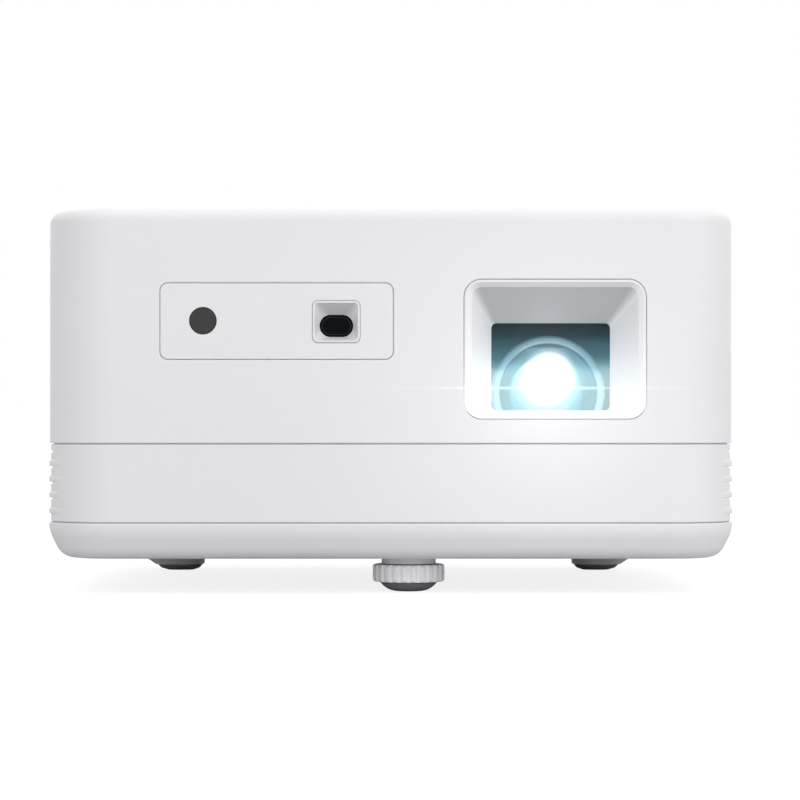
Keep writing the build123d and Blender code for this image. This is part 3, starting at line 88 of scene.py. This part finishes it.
class Shader:
    """One node material: a Principled surface and the nodes that feed it."""

    def __init__(self, name, colour, roughness, **sockets):
        self.material = bpy.data.materials.new(name)
        self.material.use_nodes = True
        self.tree = self.material.node_tree
        self.surface = self.tree.nodes["Principled BSDF"]
        self.surface.inputs["Base Color"].default_value = (*colour, 1)
        self.surface.inputs["Roughness"].default_value = roughness
        for socket, value in sockets.items():
            self.surface.inputs[socket.replace("_", " ")].default_value = value
        self.coords = self.tree.nodes.new("ShaderNodeTexCoord").outputs["Object"]
        self.height = None

    def node(self, kind, inputs=None, **settings):
        node = self.tree.nodes.new(kind)
        for key, value in settings.items():
            setattr(node, key, value)
        for key, value in (inputs or {}).items():
            if hasattr(value, "is_output"):
                self.tree.links.new(value, node.inputs[key])
            else:
                node.inputs[key].default_value = value
        return node

    def feed(self, socket, value):
        self.tree.links.new(value, self.surface.inputs[socket])

    def stretched(self, scale):
        """The object's own coordinates, stretched; used for brushed or layered looks."""
        return self.node("ShaderNodeMapping", {"Vector": self.coords, "Scale": scale}).outputs["Vector"]

    def noise(self, scale, detail=3.0, vector=None, rough=0.55):
        inputs = {"Vector": vector or self.coords, "Scale": scale, "Detail": detail, "Roughness": rough}
        return self.node("ShaderNodeTexNoise", inputs).outputs["Fac"]

    def spread(self, value, low, high, from_low=0.3, from_high=0.7):
        inputs = {"Value": value, "From Min": from_low, "From Max": from_high, "To Min": low, "To Max": high}
        return self.node("ShaderNodeMapRange", inputs).outputs["Result"]

    def maths(self, operation, a, b=0.0):
        return self.node("ShaderNodeMath", {0: a, 1: b}, operation=operation).outputs[0]

    def blend(self, factor, a, b):
        """Mix two colours, given as triples or sockets."""
        node = self.node("ShaderNodeMix", data_type="RGBA")
        self.tree.links.new(factor, node.inputs[0])
        for index, value in ((6, a), (7, b)):
            if hasattr(value, "is_output"):
                self.tree.links.new(value, node.inputs[index])
            else:
                node.inputs[index].default_value = (*value, 1)
        return node.outputs[2]

    def raise_by(self, value, distance):
        """Add a height, in metres, to the surface's bump."""
        inputs = {"Height": value, "Distance": distance, "Strength": 1.0}
        bump = self.node("ShaderNodeBump", inputs)
        if self.height is not None:
            self.tree.links.new(self.height, bump.inputs["Normal"])
        self.height = bump.outputs["Normal"]
        self.feed("Normal", self.height)


def ramp(shader, value, stops):
    """A colour ramp from (place, colour) stops; linear colours."""
    node = shader.node("ShaderNodeValToRGB", {"Fac": value})
    elements = node.color_ramp.elements
    while len(elements) < len(stops):
        elements.new(0.5)
    for element, (place, colour) in zip(elements, stops):
        element.position = place
        element.color = (*colour, 1)
    return node.outputs["Color"]


def shade(colour, amount):
    return tuple(max(0.0, channel * amount) for channel in colour)


def moulded(name, colour, roughness=0.42, grain=2600.0, depth=0.000010, tone=0.985, **sockets):
    """Moulded plastic: fine spark-eroded grain, faint flow marks and handling sheen."""
    shader = Shader(name, colour, roughness, **sockets)
    flow = shader.noise(9.0, 2.0, shader.stretched((1.0, 1.0, 2.2)))
    shader.feed("Base Color", shader.blend(shader.spread(flow, 0.0, 1.0), shade(colour, tone), colour))
    handling = shader.noise(38.0, 4.0)
    shader.feed("Roughness", shader.spread(handling, roughness - 0.04, roughness + 0.05))
    shader.raise_by(shader.noise(grain, 2.0), depth)
    shader.raise_by(shader.noise(60.0, 2.0), 0.000012)
    return shader


def metal(name, colour, roughness, lines=(1.0, 1.0, 40.0), scale=900.0, **sockets):
    """Turned, drawn or brushed metal with fine lines one way."""
    shader = Shader(name, colour, roughness, Metallic=1.0, **sockets)
    brushed = shader.noise(scale, 4.0, shader.stretched(lines))
    shader.feed("Roughness", shader.spread(brushed, roughness - 0.06, roughness + 0.10))
    tarnish = shader.noise(70.0, 3.0)
    shader.feed("Base Color", shader.blend(shader.spread(tarnish, 0.0, 1.0), shade(colour, 0.86), colour))
    shader.raise_by(brushed, 0.000006)
    return shader


def use(shader, *names):
    """Give CAD nodes a finish through their own material slots."""
    for name in names:
        for material_slot in NODES[name].material_slots:
            material_slot.material = shader.material


# ---------------------------------------------------------------- case finishes

SHELL = (0.845, 0.842, 0.862)
BEZEL = (0.835, 0.830, 0.845)


def facing_down(shader):
    """1 where the surface faces straight down, 0 where it is upright or faces up."""
    normal = shader.node("ShaderNodeNewGeometry").outputs["Normal"]
    down = shader.node("ShaderNodeSeparateXYZ", {"Vector": normal}).outputs["Z"]
    return shader.spread(down, 1.0, 0.0, -0.75, -0.25)


def painted_under_shade(shader, colour, amount):
    """Painted shade: darken the colour of the faces that look down, standing in for the shade under the roof
    of a recess.
    """
    flow = shader.spread(shader.noise(9.0, 2.0), 0.985, 1.0)
    down = facing_down(shader)
    plain = shader.blend(down, colour, shade(colour, amount))
    grey = shader.node("ShaderNodeHueSaturation", {"Color": plain, "Value": flow})
    shader.feed("Base Color", grey.outputs["Color"])


def painted_lamp_spill(shader):
    """Painted lamp light on the recess, as emission on its upright faces: none at the roof, strong at the
    sill.
    """
    height = shader.node("ShaderNodeSeparateXYZ", {"Vector": shader.coords}).outputs["Z"]
    level = shader.spread(height, 0.0, 1.0, LENS_Z - 6 * MM, LENS_Z + 32 * MM)
    stops = ((0.0, 0.30), (0.30, 0.13), (0.60, 0.05), (0.82, 0.01), (1.0, 0.0))
    spill = ramp(shader, level, [(place, (grey, grey, grey)) for place, grey in stops])
    upright = shader.maths("SUBTRACT", 1.0, facing_down(shader))
    shader.feed("Emission Color", spill)
    shader.feed("Emission Strength", upright)


def finish_case():
    shell = moulded("shell_white", SHELL)
    use(shell, "upper_cover", "sensor_panel")
    band = moulded("band_white", shade(SHELL, 0.990))
    rib_lines = band.node("ShaderNodeTexWave", {"Vector": band.coords, "Scale": 124.0, "Distortion": 0.0},
                          wave_type="BANDS", bands_direction="Z")
    band.raise_by(rib_lines.outputs["Fac"], 0.000004)
    use(band, "vent_band")
    tray = moulded("tray_white", shade(SHELL, 0.985), 0.46)
    use(tray, "bottom_tray", "foot_mounts", "case_posts", "standoffs")
    bezel = moulded("bezel_white", BEZEL, 0.34, depth=0.000006)
    # painted shade on the sensor bezel's down-facing faces
    painted_under_shade(bezel, BEZEL, 0.70)
    use(bezel, "sensor_bezel")
    recess = moulded("recess_white", BEZEL, 0.34, depth=0.000006)
    # painted shade on the lens recess's down-facing faces
    painted_under_shade(recess, BEZEL, 0.56)
    # painted lamp light glowing on the recess's upright faces
    painted_lamp_spill(recess)
    use(recess, "lens_bezel")
    use(moulded("grille_white", shade(SHELL, 0.97), 0.46), "rear_grille", "io_plate")
    use(moulded("button_white", shade(SHELL, 0.96), 0.38), "power_button")


def finish_feet():
    knob = moulded("knob_silver", (0.97, 0.965, 0.985), 0.34, grain=1800.0, depth=0.000014, Metallic=0.1)
    use(knob, "foot_wheel")
    use(metal("stud_steel", (0.62, 0.62, 0.64), 0.30, (1.0, 1.0, 60.0)), "foot_stud", "foot_pivot")
    use(metal("insert_brass", (0.78, 0.61, 0.32), 0.32, (1.0, 1.0, 30.0)), "foot_insert", "tripod_insert")
    rubber = moulded("pad_rubber", (0.270, 0.266, 0.285), 0.66, grain=1500.0, depth=0.00004, tone=0.7)
    use(rubber, "foot_pad", "rear_foot_pads")


# ---------------------------------------------------------------- lens finishes

# Painted lamp light by height in the window, from sill to roof, and a painted halo by distance from the
# beam.
PAINTED_HAZE = ((0.0, (0.47, 0.56, 0.58)), (0.36, (0.48, 0.60, 0.62)), (0.45, (0.37, 0.53, 0.575)),
        (0.515, (0.16, 0.30, 0.345)), (0.60, (0.062, 0.150, 0.190)), (0.72, (0.034, 0.092, 0.115)),
        (0.86, (0.006, 0.024, 0.034)), (1.0, (0.0, 0.003, 0.005)))
PAINTED_HALO = ((0.0, (1.00, 1.00, 1.00)), (0.29, (0.80, 0.80, 0.80)), (0.36, (0.42, 0.44, 0.445)),
        (0.43, (0.13, 0.15, 0.155)), (0.50, (0.030, 0.040, 0.043)), (0.70, (0.0, 0.0, 0.0)))
SPARK_POWER = 120.0
GLASS_POWER = 6.0
# Heights of the bright spots over the lens's axis, and how far each one reaches.
SPARK_ABOVE = 1.6 * MM
SPARK_REACH = 0.7 * MM
BEAM_ABOVE = 4.0 * MM
BEAM_REACH = 12.5 * MM
HALO_ABOVE = 5.5 * MM
HALO_REACH = 19.0 * MM
# The lit glass's reach about the axis, and how far inside the window's edges the painted haze runs.
GLASS_REACH = 14.5 * MM
HAZE_INSET = 1.9 * MM


def radius_from(shader, x, z):
    """Distance of a surface point, seen from the front, from the point x, z; in metres."""
    parts = shader.node("ShaderNodeSeparateXYZ", {"Vector": shader.coords}).outputs
    across = shader.maths("SUBTRACT", parts["X"], x)
    up = shader.maths("SUBTRACT", parts["Z"], z)
    across = shader.maths("MULTIPLY", across, across)
    up = shader.maths("MULTIPLY", up, up)
    return shader.maths("SQRT", shader.maths("ADD", across, up))


def pane(name, tint, gloss, haze):
    """Clear glass: it lets what is behind through with a tint, and glints more at its edges."""
    glass = Shader(name, tint, 0.03)
    see = glass.node("ShaderNodeBsdfTransparent", {"Color": (*tint, 1)})
    facing = glass.node("ShaderNodeLayerWeight", {"Blend": 0.25}).outputs["Fresnel"]
    smear = glass.noise(55.0, 4.0, glass.stretched((1.0, 1.0, 0.4)))
    glass.surface.inputs["Metallic"].default_value = 1.0
    glass.surface.inputs["Base Color"].default_value = (0.9, 0.95, 0.97, 1)
    glass.feed("Roughness", glass.spread(smear, 0.02, 0.14))
    share = glass.maths("ADD", glass.maths("MULTIPLY", facing, gloss), haze)
    mix = glass.node("ShaderNodeMixShader")
    glass.tree.links.new(share, mix.inputs["Fac"])
    glass.tree.links.new(see.outputs[0], mix.inputs[1])
    glass.tree.links.new(glass.surface.outputs[0], mix.inputs[2])
    glass.tree.links.new(mix.outputs[0], glass.tree.nodes["Material Output"].inputs["Surface"])
    return glass


def painted_stray_light(shader):
    """Painted stray lamp light, for emission about the window: thin and teal high up, pale and strong low
    down.
    """
    low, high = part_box("lens_window")
    place = shader.node("ShaderNodeSeparateXYZ", {"Vector": shader.coords}).outputs
    drift = shader.spread(shader.noise(90.0, 2.0, shader.stretched((0.15, 1.0, 1.6))), -0.0012, 0.0012)
    height = shader.maths("ADD", place["Z"], drift)
    level = shader.spread(height, 0.0, 1.0, low.z + HAZE_INSET, high.z - HAZE_INSET)
    return ramp(shader, level, PAINTED_HAZE)


def add_painted_glow(glass, share):
    """A faint veil of painted lamp light glowing in the window itself, thicker round the beam."""
    radius = glass.spread(radius_from(glass, LENS_X, LENS_Z + HALO_ABOVE), 0.0, 1.0, 0.0, HALO_REACH)
    halo = ramp(glass, radius, PAINTED_HALO)
    # painted glow: stray lamp light and a halo round the beam, as emission on the glass
    veil = glass.node("ShaderNodeEmission", {"Color": painted_stray_light(glass), "Strength": share / 2})
    glow = glass.node("ShaderNodeEmission", {"Color": halo, "Strength": 1.0})
    output = glass.tree.nodes["Material Output"]
    surface = output.inputs["Surface"].links[0].from_socket
    for light in (veil, glow):
        add = glass.node("ShaderNodeAddShader")
        glass.tree.links.new(surface, add.inputs[0])
        glass.tree.links.new(light.outputs[0], add.inputs[1])
        surface = add.outputs[0]
    glass.tree.links.new(surface, output.inputs["Surface"])


def lit_glass():
    """The inner glasses, lit from behind: a white spark and disc, and painted stray light outside it."""
    lit = Shader("lit_glass", (0.30, 0.45, 0.50), 0.12)
    reach = lit.spread(radius_from(lit, LENS_X, LENS_Z), 0.0, 1.0, 0.0, GLASS_REACH)
    black = (0.0, 0.0, 0.0)
    white = (1.0, 1.0, 1.0)
    outside = ramp(lit, reach, ((0.0, black), (0.805, black), (0.835, white), (1.0, white)))
    core = lit.spread(radius_from(lit, LENS_X, LENS_Z + BEAM_ABOVE), 0.0, 1.0, 0.0, BEAM_REACH)
    disc = ramp(lit, core, ((0.0, white), (0.45, (0.40, 0.41, 0.41)), (0.62, (0.17, 0.18, 0.182)),
                            (0.74, (0.098, 0.110, 0.116)), (1.0, (0.052, 0.062, 0.067))))
    # painted stray light, dimmed, glowing outside the lit disc
    faint = lit.node("ShaderNodeHueSaturation", {"Color": painted_stray_light(lit), "Value": 0.085})
    lit.feed("Emission Color", lit.blend(outside, disc, faint.outputs["Color"]))
    off_spark = radius_from(lit, LENS_X, LENS_Z + SPARK_ABOVE)
    power = lit.spread(off_spark, SPARK_POWER, GLASS_POWER, 0.4 * MM, SPARK_REACH)
    lit.feed("Emission Strength", power)
    return lit


def painted_glow_ring():
    """The ground front ring, glowing with painted stray light, most of it low down."""
    ring = Shader("lens_ring", (0.20, 0.27, 0.31), 0.22, IOR=1.5)
    ground = ring.noise(1400.0, 3.0)
    ring.feed("Roughness", ring.spread(ground, 0.16, 0.34))
    ring.raise_by(ground, 0.000010)
    # painted stray light as emission, stronger low on the ring
    ring.feed("Emission Color", painted_stray_light(ring))
    height = ring.node("ShaderNodeSeparateXYZ", {"Vector": ring.coords}).outputs["Z"]
    ring.feed("Emission Strength", ring.spread(height, 1.02, 0.68, LENS_Z, LENS_Z + RING_R))
    return ring


def threaded_barrel():
    """The black barrel with its fine anti-glare threads, glowing with painted stray light."""
    barrel = moulded("barrel_black", (0.05, 0.09, 0.11), 0.40, tone=0.8)
    threads = barrel.node("ShaderNodeTexWave", {"Vector": barrel.coords, "Scale": 300.0, "Distortion": 0.0},
                          wave_type="BANDS", bands_direction="Y")
    barrel.raise_by(threads.outputs["Fac"], 0.00010)
    # painted stray light as emission on the barrel
    barrel.feed("Emission Color", painted_stray_light(barrel))
    barrel.surface.inputs["Emission Strength"].default_value = 0.80
    return barrel


def finish_lens():
    window = pane("window_glass", (0.93, 0.975, 0.985), 0.10, 0.004)
    # painted lamp light glowing in the window glass
    add_painted_glow(window, 0.20)
    use(window, "lens_window")
    use(pane("lens_glass", (0.88, 0.955, 0.97), 0.20, 0.010), "lens_front_element", "condenser_lens")
    use(lit_glass(), "lens_inner_elements")
    use(painted_glow_ring(), "lens_front_ring")
    use(threaded_barrel(), "lens_barrel")


def finish_sensors():
    infrared = Shader("ir_dark", (0.040, 0.040, 0.041), 0.30, Specular_IOR_Level=0.25)
    cloud = infrared.noise(500.0, 2.0)
    infrared.feed("Roughness", infrared.spread(cloud, 0.26, 0.36))
    infrared.raise_by(cloud, 0.000004)
    use(infrared, "ir_window")
    eye = Shader("eye_black", (0.003, 0.004, 0.005), 0.16, Specular_IOR_Level=0.03)
    coat = eye.noise(300.0, 2.0)
    patchy = eye.spread(coat, 0.0, 1.0)
    eye.feed("Base Color", eye.blend(patchy, (0.002, 0.003, 0.004), (0.003, 0.005, 0.006)))
    eye.feed("Roughness", eye.spread(coat, 0.12, 0.20))
    use(eye, "sensor_window")


# ---------------------------------------------------------------- inner finishes

def circuit(name, colour):
    """A circuit board: solder mask over faint tracks."""
    shader = Shader(name, colour, 0.35)
    tracks = shader.node("ShaderNodeTexBrick", {"Vector": shader.stretched((1.0, 1.0, 1.0)), "Scale": 160.0,
                                                "Mortar Size": 0.03, "Color1": (*shade(colour, 1.25), 1),
                                                "Color2": (*shade(colour, 0.85), 1),
                                                "Mortar": (*shade(colour, 0.6), 1)})
    shader.feed("Base Color", tracks.outputs["Color"])
    shader.raise_by(tracks.outputs["Fac"], 0.00002)
    return shader


def finish_inside():
    black = moulded("engine_black", (0.035, 0.035, 0.038), 0.55, tone=0.8)
    use(black, "engine_housing", "engine_cover", "lens_holder", "focus_retainer", "fan_frame", "fan_rotor",
        "fan_duct", "speaker_boxes", "board_chips", "ir_receiver", "audio_socket", "mains_inlet")
    use(moulded("gear_nylon", (0.80, 0.79, 0.74), 0.45), "focus_ring")
    use(metal("socket_steel", (0.66, 0.66, 0.67), 0.28), "hdmi_socket", "usb_socket", "focus_motor")
    use(metal("screw_steel", (0.45, 0.45, 0.47), 0.35), "case_screws", "inner_screws")
    use(metal("pin_brass", (0.72, 0.66, 0.50), 0.28), "mains_pins", "focus_pinion")
    use(metal("sink_aluminium", (0.72, 0.73, 0.74), 0.38, (1.0, 20.0, 1.0)), "led_heatsink")
    board = circuit("board_green", (0.04, 0.20, 0.10))
    use(board, "main_board", "supply_board", "sensor_board", "button_board")
    use(moulded("supply_mix", (0.10, 0.10, 0.14), 0.4), "supply_parts")
    use(moulded("cone_paper", (0.07, 0.07, 0.07), 0.8, grain=700.0, depth=0.00006), "speaker_cones")
    use(metal("magnet_iron", (0.25, 0.25, 0.26), 0.6), "speaker_magnets")
    use(metal("mirror_face", (0.9, 0.9, 0.9), 0.08, scale=200.0), "fold_mirror")
    use(metal("reflector", (0.88, 0.88, 0.88), 0.15, scale=400.0), "light_cone")
    use(moulded("led_board", (0.80, 0.80, 0.76), 0.4), "led_module")
    clear = Shader("fresnel_clear", (0.85, 0.90, 0.92), 0.1, Alpha=0.4)
    rings = clear.node("ShaderNodeTexWave", {"Vector": clear.coords, "Scale": 500.0}, wave_type="RINGS",
                       rings_direction="X")
    clear.raise_by(rings.outputs["Fac"], 0.00005)
    use(clear, "field_lenses", "lcd_panel")


# ---------------------------------------------------------------- added pieces

def mesh_piece(name, body, shader, verts, faces):
    mesh = bpy.data.meshes.new(name)
    mesh.from_pydata(verts, [], faces)
    mesh.validate()
    work = bmesh.new()
    work.from_mesh(mesh)
    bmesh.ops.recalc_face_normals(work, faces=work.faces)
    work.to_mesh(mesh)
    work.free()
    mesh.materials.append(shader.material)
    for polygon in mesh.polygons:
        polygon.use_smooth = True
    piece = bpy.data.objects.new(name, mesh)
    bpy.context.scene.collection.objects.link(piece)
    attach(piece, body)
    return piece


def rounded_loop(cx, cz, width, height, radius, steps=10):
    """Points round a rounded rectangle, as (x, z), starting at its right side."""
    points = []
    corners = ((1, 1, 0), (-1, 1, 90), (-1, -1, 180), (1, -1, 270))
    for sx, sz, start in corners:
        for step in range(steps + 1):
            angle = radians(start + 90 * step / steps)
            x = cx + sx * (width / 2 - radius) + radius * cos(angle)
            z = cz + sz * (height / 2 - radius) + radius * sin(angle)
            points.append((x, z))
    return points


def lofted(loops, closed):
    """Quads between successive loops of equal length; closed joins the last to the first."""
    count = len(loops[0])
    verts = [point for loop in loops for point in loop]
    faces = []
    spans = len(loops) if closed else len(loops) - 1
    for index in range(spans):
        a = index * count
        b = (index + 1) % len(loops) * count
        for step in range(count):
            after = (step + 1) % count
            faces.append((a + step, a + after, b + after, b + step))
    return verts, faces


def ribbed_profile(front_y, back_y):
    """Points (y, step out of the wall) from front to back: a flat and a rib by turns."""
    rib = 0.45 * MM
    ribs = 6
    depth = back_y - front_y
    profile = []
    for index in range(ribs):
        y = front_y + depth * index / ribs
        profile += [(y, 0.0), (y + depth / ribs * 0.5, 0.0), (y + depth / ribs * 0.55, -rib),
                    (y + depth / ribs * 0.95, -rib)]
    profile.append((back_y, 0.0))
    return profile


def lens_shroud():
    """The ribbed box between the window and the lens, open round the lens, glowing with painted stray light.
    """
    low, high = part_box("lens_window")
    cx = (low.x + high.x) / 2
    cz = (low.z + high.z) / 2
    margin = 3.6 * MM
    corner = 3.0 * MM
    outer_corner = 3.6 * MM
    width = high.x - low.x + margin
    height = high.z - low.z + margin
    glass_y = high.y + 0.2 * MM
    back_y = RING_FRONT_Y + 4.5 * MM
    skin = 1.0 * MM
    loops = []
    for y, inward in ribbed_profile(glass_y, back_y):
        loop = rounded_loop(cx, cz, width + 2 * inward, height + 2 * inward, corner)
        loops.append([(x, y, z) for x, z in loop])
    hole = RING_R + 0.25 * MM
    start = rounded_loop(cx, cz, width, height, corner)
    for share, y in ((0.35, back_y + 0.3 * MM), (0.7, back_y + 0.7 * MM), (1.0, back_y + 1.0 * MM)):
        loop = []
        for x, z in start:
            away = Vector((x - LENS_X, 0, z - LENS_Z))
            rim = away.normalized() * hole
            loop.append((x + (LENS_X + rim.x - x) * share, y, z + (LENS_Z + rim.z - z) * share))
        loops.append(loop)
    loops.append([(x, y + skin, z) for x, y, z in loops[-1]])
    shell = rounded_loop(cx, cz, width + 2 * skin, height + 2 * skin, outer_corner)
    loops.append([(x, back_y + 1.2 * MM + skin, z) for x, z in shell])
    loops.append([(x, glass_y, z) for x, z in shell])
    shader = moulded("shroud_dark_painted_glow", (0.008, 0.015, 0.018), 0.6, grain=1500.0, depth=0.00003, tone=0.75,
                     Specular_IOR_Level=0.2)
    # painted stray light as emission on the dark shroud
    shader.feed("Emission Color", painted_stray_light(shader))
    shader.surface.inputs["Emission Strength"].default_value = 0.85
    verts, faces = lofted(loops, True)
    return mesh_piece("lens_shroud", "case", shader, verts, faces)


def ring_along(path, radius, segments=10):
    """A thin round cord along a closed flat path of (x, y, z)."""
    centre = sum((Vector(point) for point in path), Vector()) / len(path)
    loops = []
    for point in path:
        point = Vector(point)
        outward = point - centre
        outward.y = 0
        outward.normalize()
        loop = []
        for step in range(segments):
            angle = 2 * pi * step / segments
            loop.append(tuple(point + outward * radius * cos(angle) + Vector((0, radius * sin(angle), 0))))
        loops.append(loop)
    return lofted(loops, True)


def sensor_gasket():
    """A fine bead just inside the edge of the camera's oval window."""
    low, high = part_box("sensor_window")
    cx = (low.x + high.x) / 2
    cz = (low.z + high.z) / 2
    inset = 2.6 * MM
    width = high.x - low.x - inset
    height = high.z - low.z - inset
    y = low.y - 0.02 * MM
    loop = rounded_loop(cx, cz, width, height, height / 2 - 0.01 * MM, 12)
    path = [(x, y, z) for x, z in loop]
    shader = moulded("gasket_black", (0.020, 0.024, 0.026), 0.35)
    verts, faces = ring_along(path, 0.09 * MM)
    return mesh_piece("sensor_gasket", "case", shader, verts, faces)


# ---------------------------------------------------------------- stage

def add_light(name, kind, place, power, colour=(1, 1, 1), target=None, **settings):
    data = bpy.data.lights.new(name, kind)
    data.energy = power
    data.color = colour
    for key, value in settings.items():
        setattr(data, key, value)
    light = bpy.data.objects.new(name, data)
    light.location = place
    if target is not None:
        light.rotation_euler = (Vector(target) - Vector(place)).to_track_quat("-Z", "Y").to_euler()
    light.visible_camera = False
    bpy.context.scene.collection.objects.link(light)
    return light


FLOOR_COLOUR = (0.22, 0.22, 0.222)
FLOOR_SEEN = 0.84
FLOOR_BOUNCE = 0.57
WORLD_POWER = 1.37
SIDE_FALL = 0.60
TOP_FALL = 0.40
KEY_POWER = 5.2
TOP_POWER = 2.8
SPILL_POWER = 0.0175


def add_stage():
    """A plain pale floor: bright to the camera, with a mild bounce on to the object."""
    size = 8.0
    mesh = bpy.data.meshes.new("floor")
    corners = [(-size, -size, 0), (size, -size, 0), (size, size, 0), (-size, size, 0)]
    mesh.from_pydata(corners, [], [(0, 1, 2, 3)])
    floor = bpy.data.objects.new("floor", mesh)
    bpy.context.scene.collection.objects.link(floor)
    pale = Shader("floor_pale", FLOOR_COLOUR, 0.85)
    pale.surface.inputs["Emission Color"].default_value = (1, 1, 1, 1)
    pale.surface.inputs["Emission Strength"].default_value = FLOOR_SEEN
    returned = (FLOOR_BOUNCE, FLOOR_BOUNCE, FLOOR_BOUNCE * 1.02, 1)
    bounce = pale.node("ShaderNodeBsdfDiffuse", {"Color": returned})
    path = pale.node("ShaderNodeLightPath")
    mix = pale.node("ShaderNodeMixShader")
    pale.tree.links.new(path.outputs["Is Camera Ray"], mix.inputs["Fac"])
    pale.tree.links.new(bounce.outputs[0], mix.inputs[1])
    pale.tree.links.new(pale.surface.outputs[0], mix.inputs[2])
    pale.tree.links.new(mix.outputs[0], pale.tree.nodes["Material Output"].inputs["Surface"])
    mesh.materials.append(pale.material)


def add_world():
    """Soft white surroundings, brightest in front and behind, dimmer at the sides and overhead."""
    world = bpy.data.worlds.new("studio")
    bpy.context.scene.world = world
    world.use_nodes = True
    tree = world.node_tree
    back = tree.nodes["Background"]
    back.inputs["Color"].default_value = (1.0, 1.0, 1.0, 1)
    toward = tree.nodes.new("ShaderNodeTexCoord").outputs["Generated"]
    parts = tree.nodes.new("ShaderNodeSeparateXYZ")
    tree.links.new(toward, parts.inputs[0])
    level = tree.nodes.new("ShaderNodeValue").outputs[0]
    level.default_value = WORLD_POWER
    for axis, fall in (("X", SIDE_FALL), ("Z", TOP_FALL)):
        squared = tree.nodes.new("ShaderNodeMath")
        squared.operation = "MULTIPLY"
        tree.links.new(parts.outputs[axis], squared.inputs[0])
        tree.links.new(parts.outputs[axis], squared.inputs[1])
        drop = tree.nodes.new("ShaderNodeMath")
        drop.operation = "MULTIPLY_ADD"
        drop.inputs[1].default_value = -fall * WORLD_POWER
        tree.links.new(squared.outputs[0], drop.inputs[0])
        tree.links.new(level, drop.inputs[2])
        level = drop.outputs[0]
    tree.links.new(level, back.inputs["Strength"])
    seen = tree.nodes.new("ShaderNodeBackground")
    seen.inputs["Color"].default_value = (1, 1, 1, 1)
    seen.inputs["Strength"].default_value = 1.0
    path = tree.nodes.new("ShaderNodeLightPath")
    mix = tree.nodes.new("ShaderNodeMixShader")
    tree.links.new(path.outputs["Is Camera Ray"], mix.inputs["Fac"])
    tree.links.new(back.outputs[0], mix.inputs[1])
    tree.links.new(seen.outputs[0], mix.inputs[2])
    tree.links.new(mix.outputs[0], tree.nodes["World Output"].inputs["Surface"])


def add_lights():
    aim = (0, 0, 0.06)
    add_light("key_right", "AREA", (1.1, -0.9, 0.9), KEY_POWER, target=aim, shape="SQUARE", size=1.2)
    add_light("top", "AREA", (0.1, 0.1, 1.5), TOP_POWER, target=aim, shape="SQUARE", size=1.4)
    spill_place = (LENS_X, FRONT_Y - 45 * MM, LENS_Z - 3 * MM)
    add_light("lens_spill", "POINT", spill_place, SPILL_POWER, (0.97, 0.99, 1.0), shadow_soft_size=0.012)


GLARES = (
    ("BLOOM", {"Threshold": 1.3, "Strength": 0.38, "Size": 0.85}),
    ("STREAKS", {"Threshold": 9.0, "Strength": 0.22, "Streaks": 2, "Streaks Angle": 0.0, "Iterations": 4,
                 "Fade": 0.97}),
)


def add_glare():
    """The lens flare of a lit projector: a soft bloom and one faint level streak."""
    scene = bpy.context.scene
    scene.use_nodes = True
    tree = scene.node_tree
    layers = tree.nodes["Render Layers"]
    output = tree.nodes["Composite"]
    image = layers.outputs["Image"]
    for kind, settings in GLARES:
        glare = tree.nodes.new("CompositorNodeGlare")
        glare.glare_type = kind
        glare.quality = "HIGH"
        for key, value in settings.items():
            glare.inputs[key].default_value = value
        tree.links.new(image, glare.inputs["Image"])
        image = glare.outputs["Image"]
    tree.links.new(image, output.inputs["Image"])


add_camera()
finish_case()
finish_feet()
finish_lens()
finish_sensors()
finish_inside()
lens_shroud()
sensor_gasket()
add_stage()
add_world()
add_lights()
add_glare()
bpy.context.scene.view_settings.view_transform = "Standard"
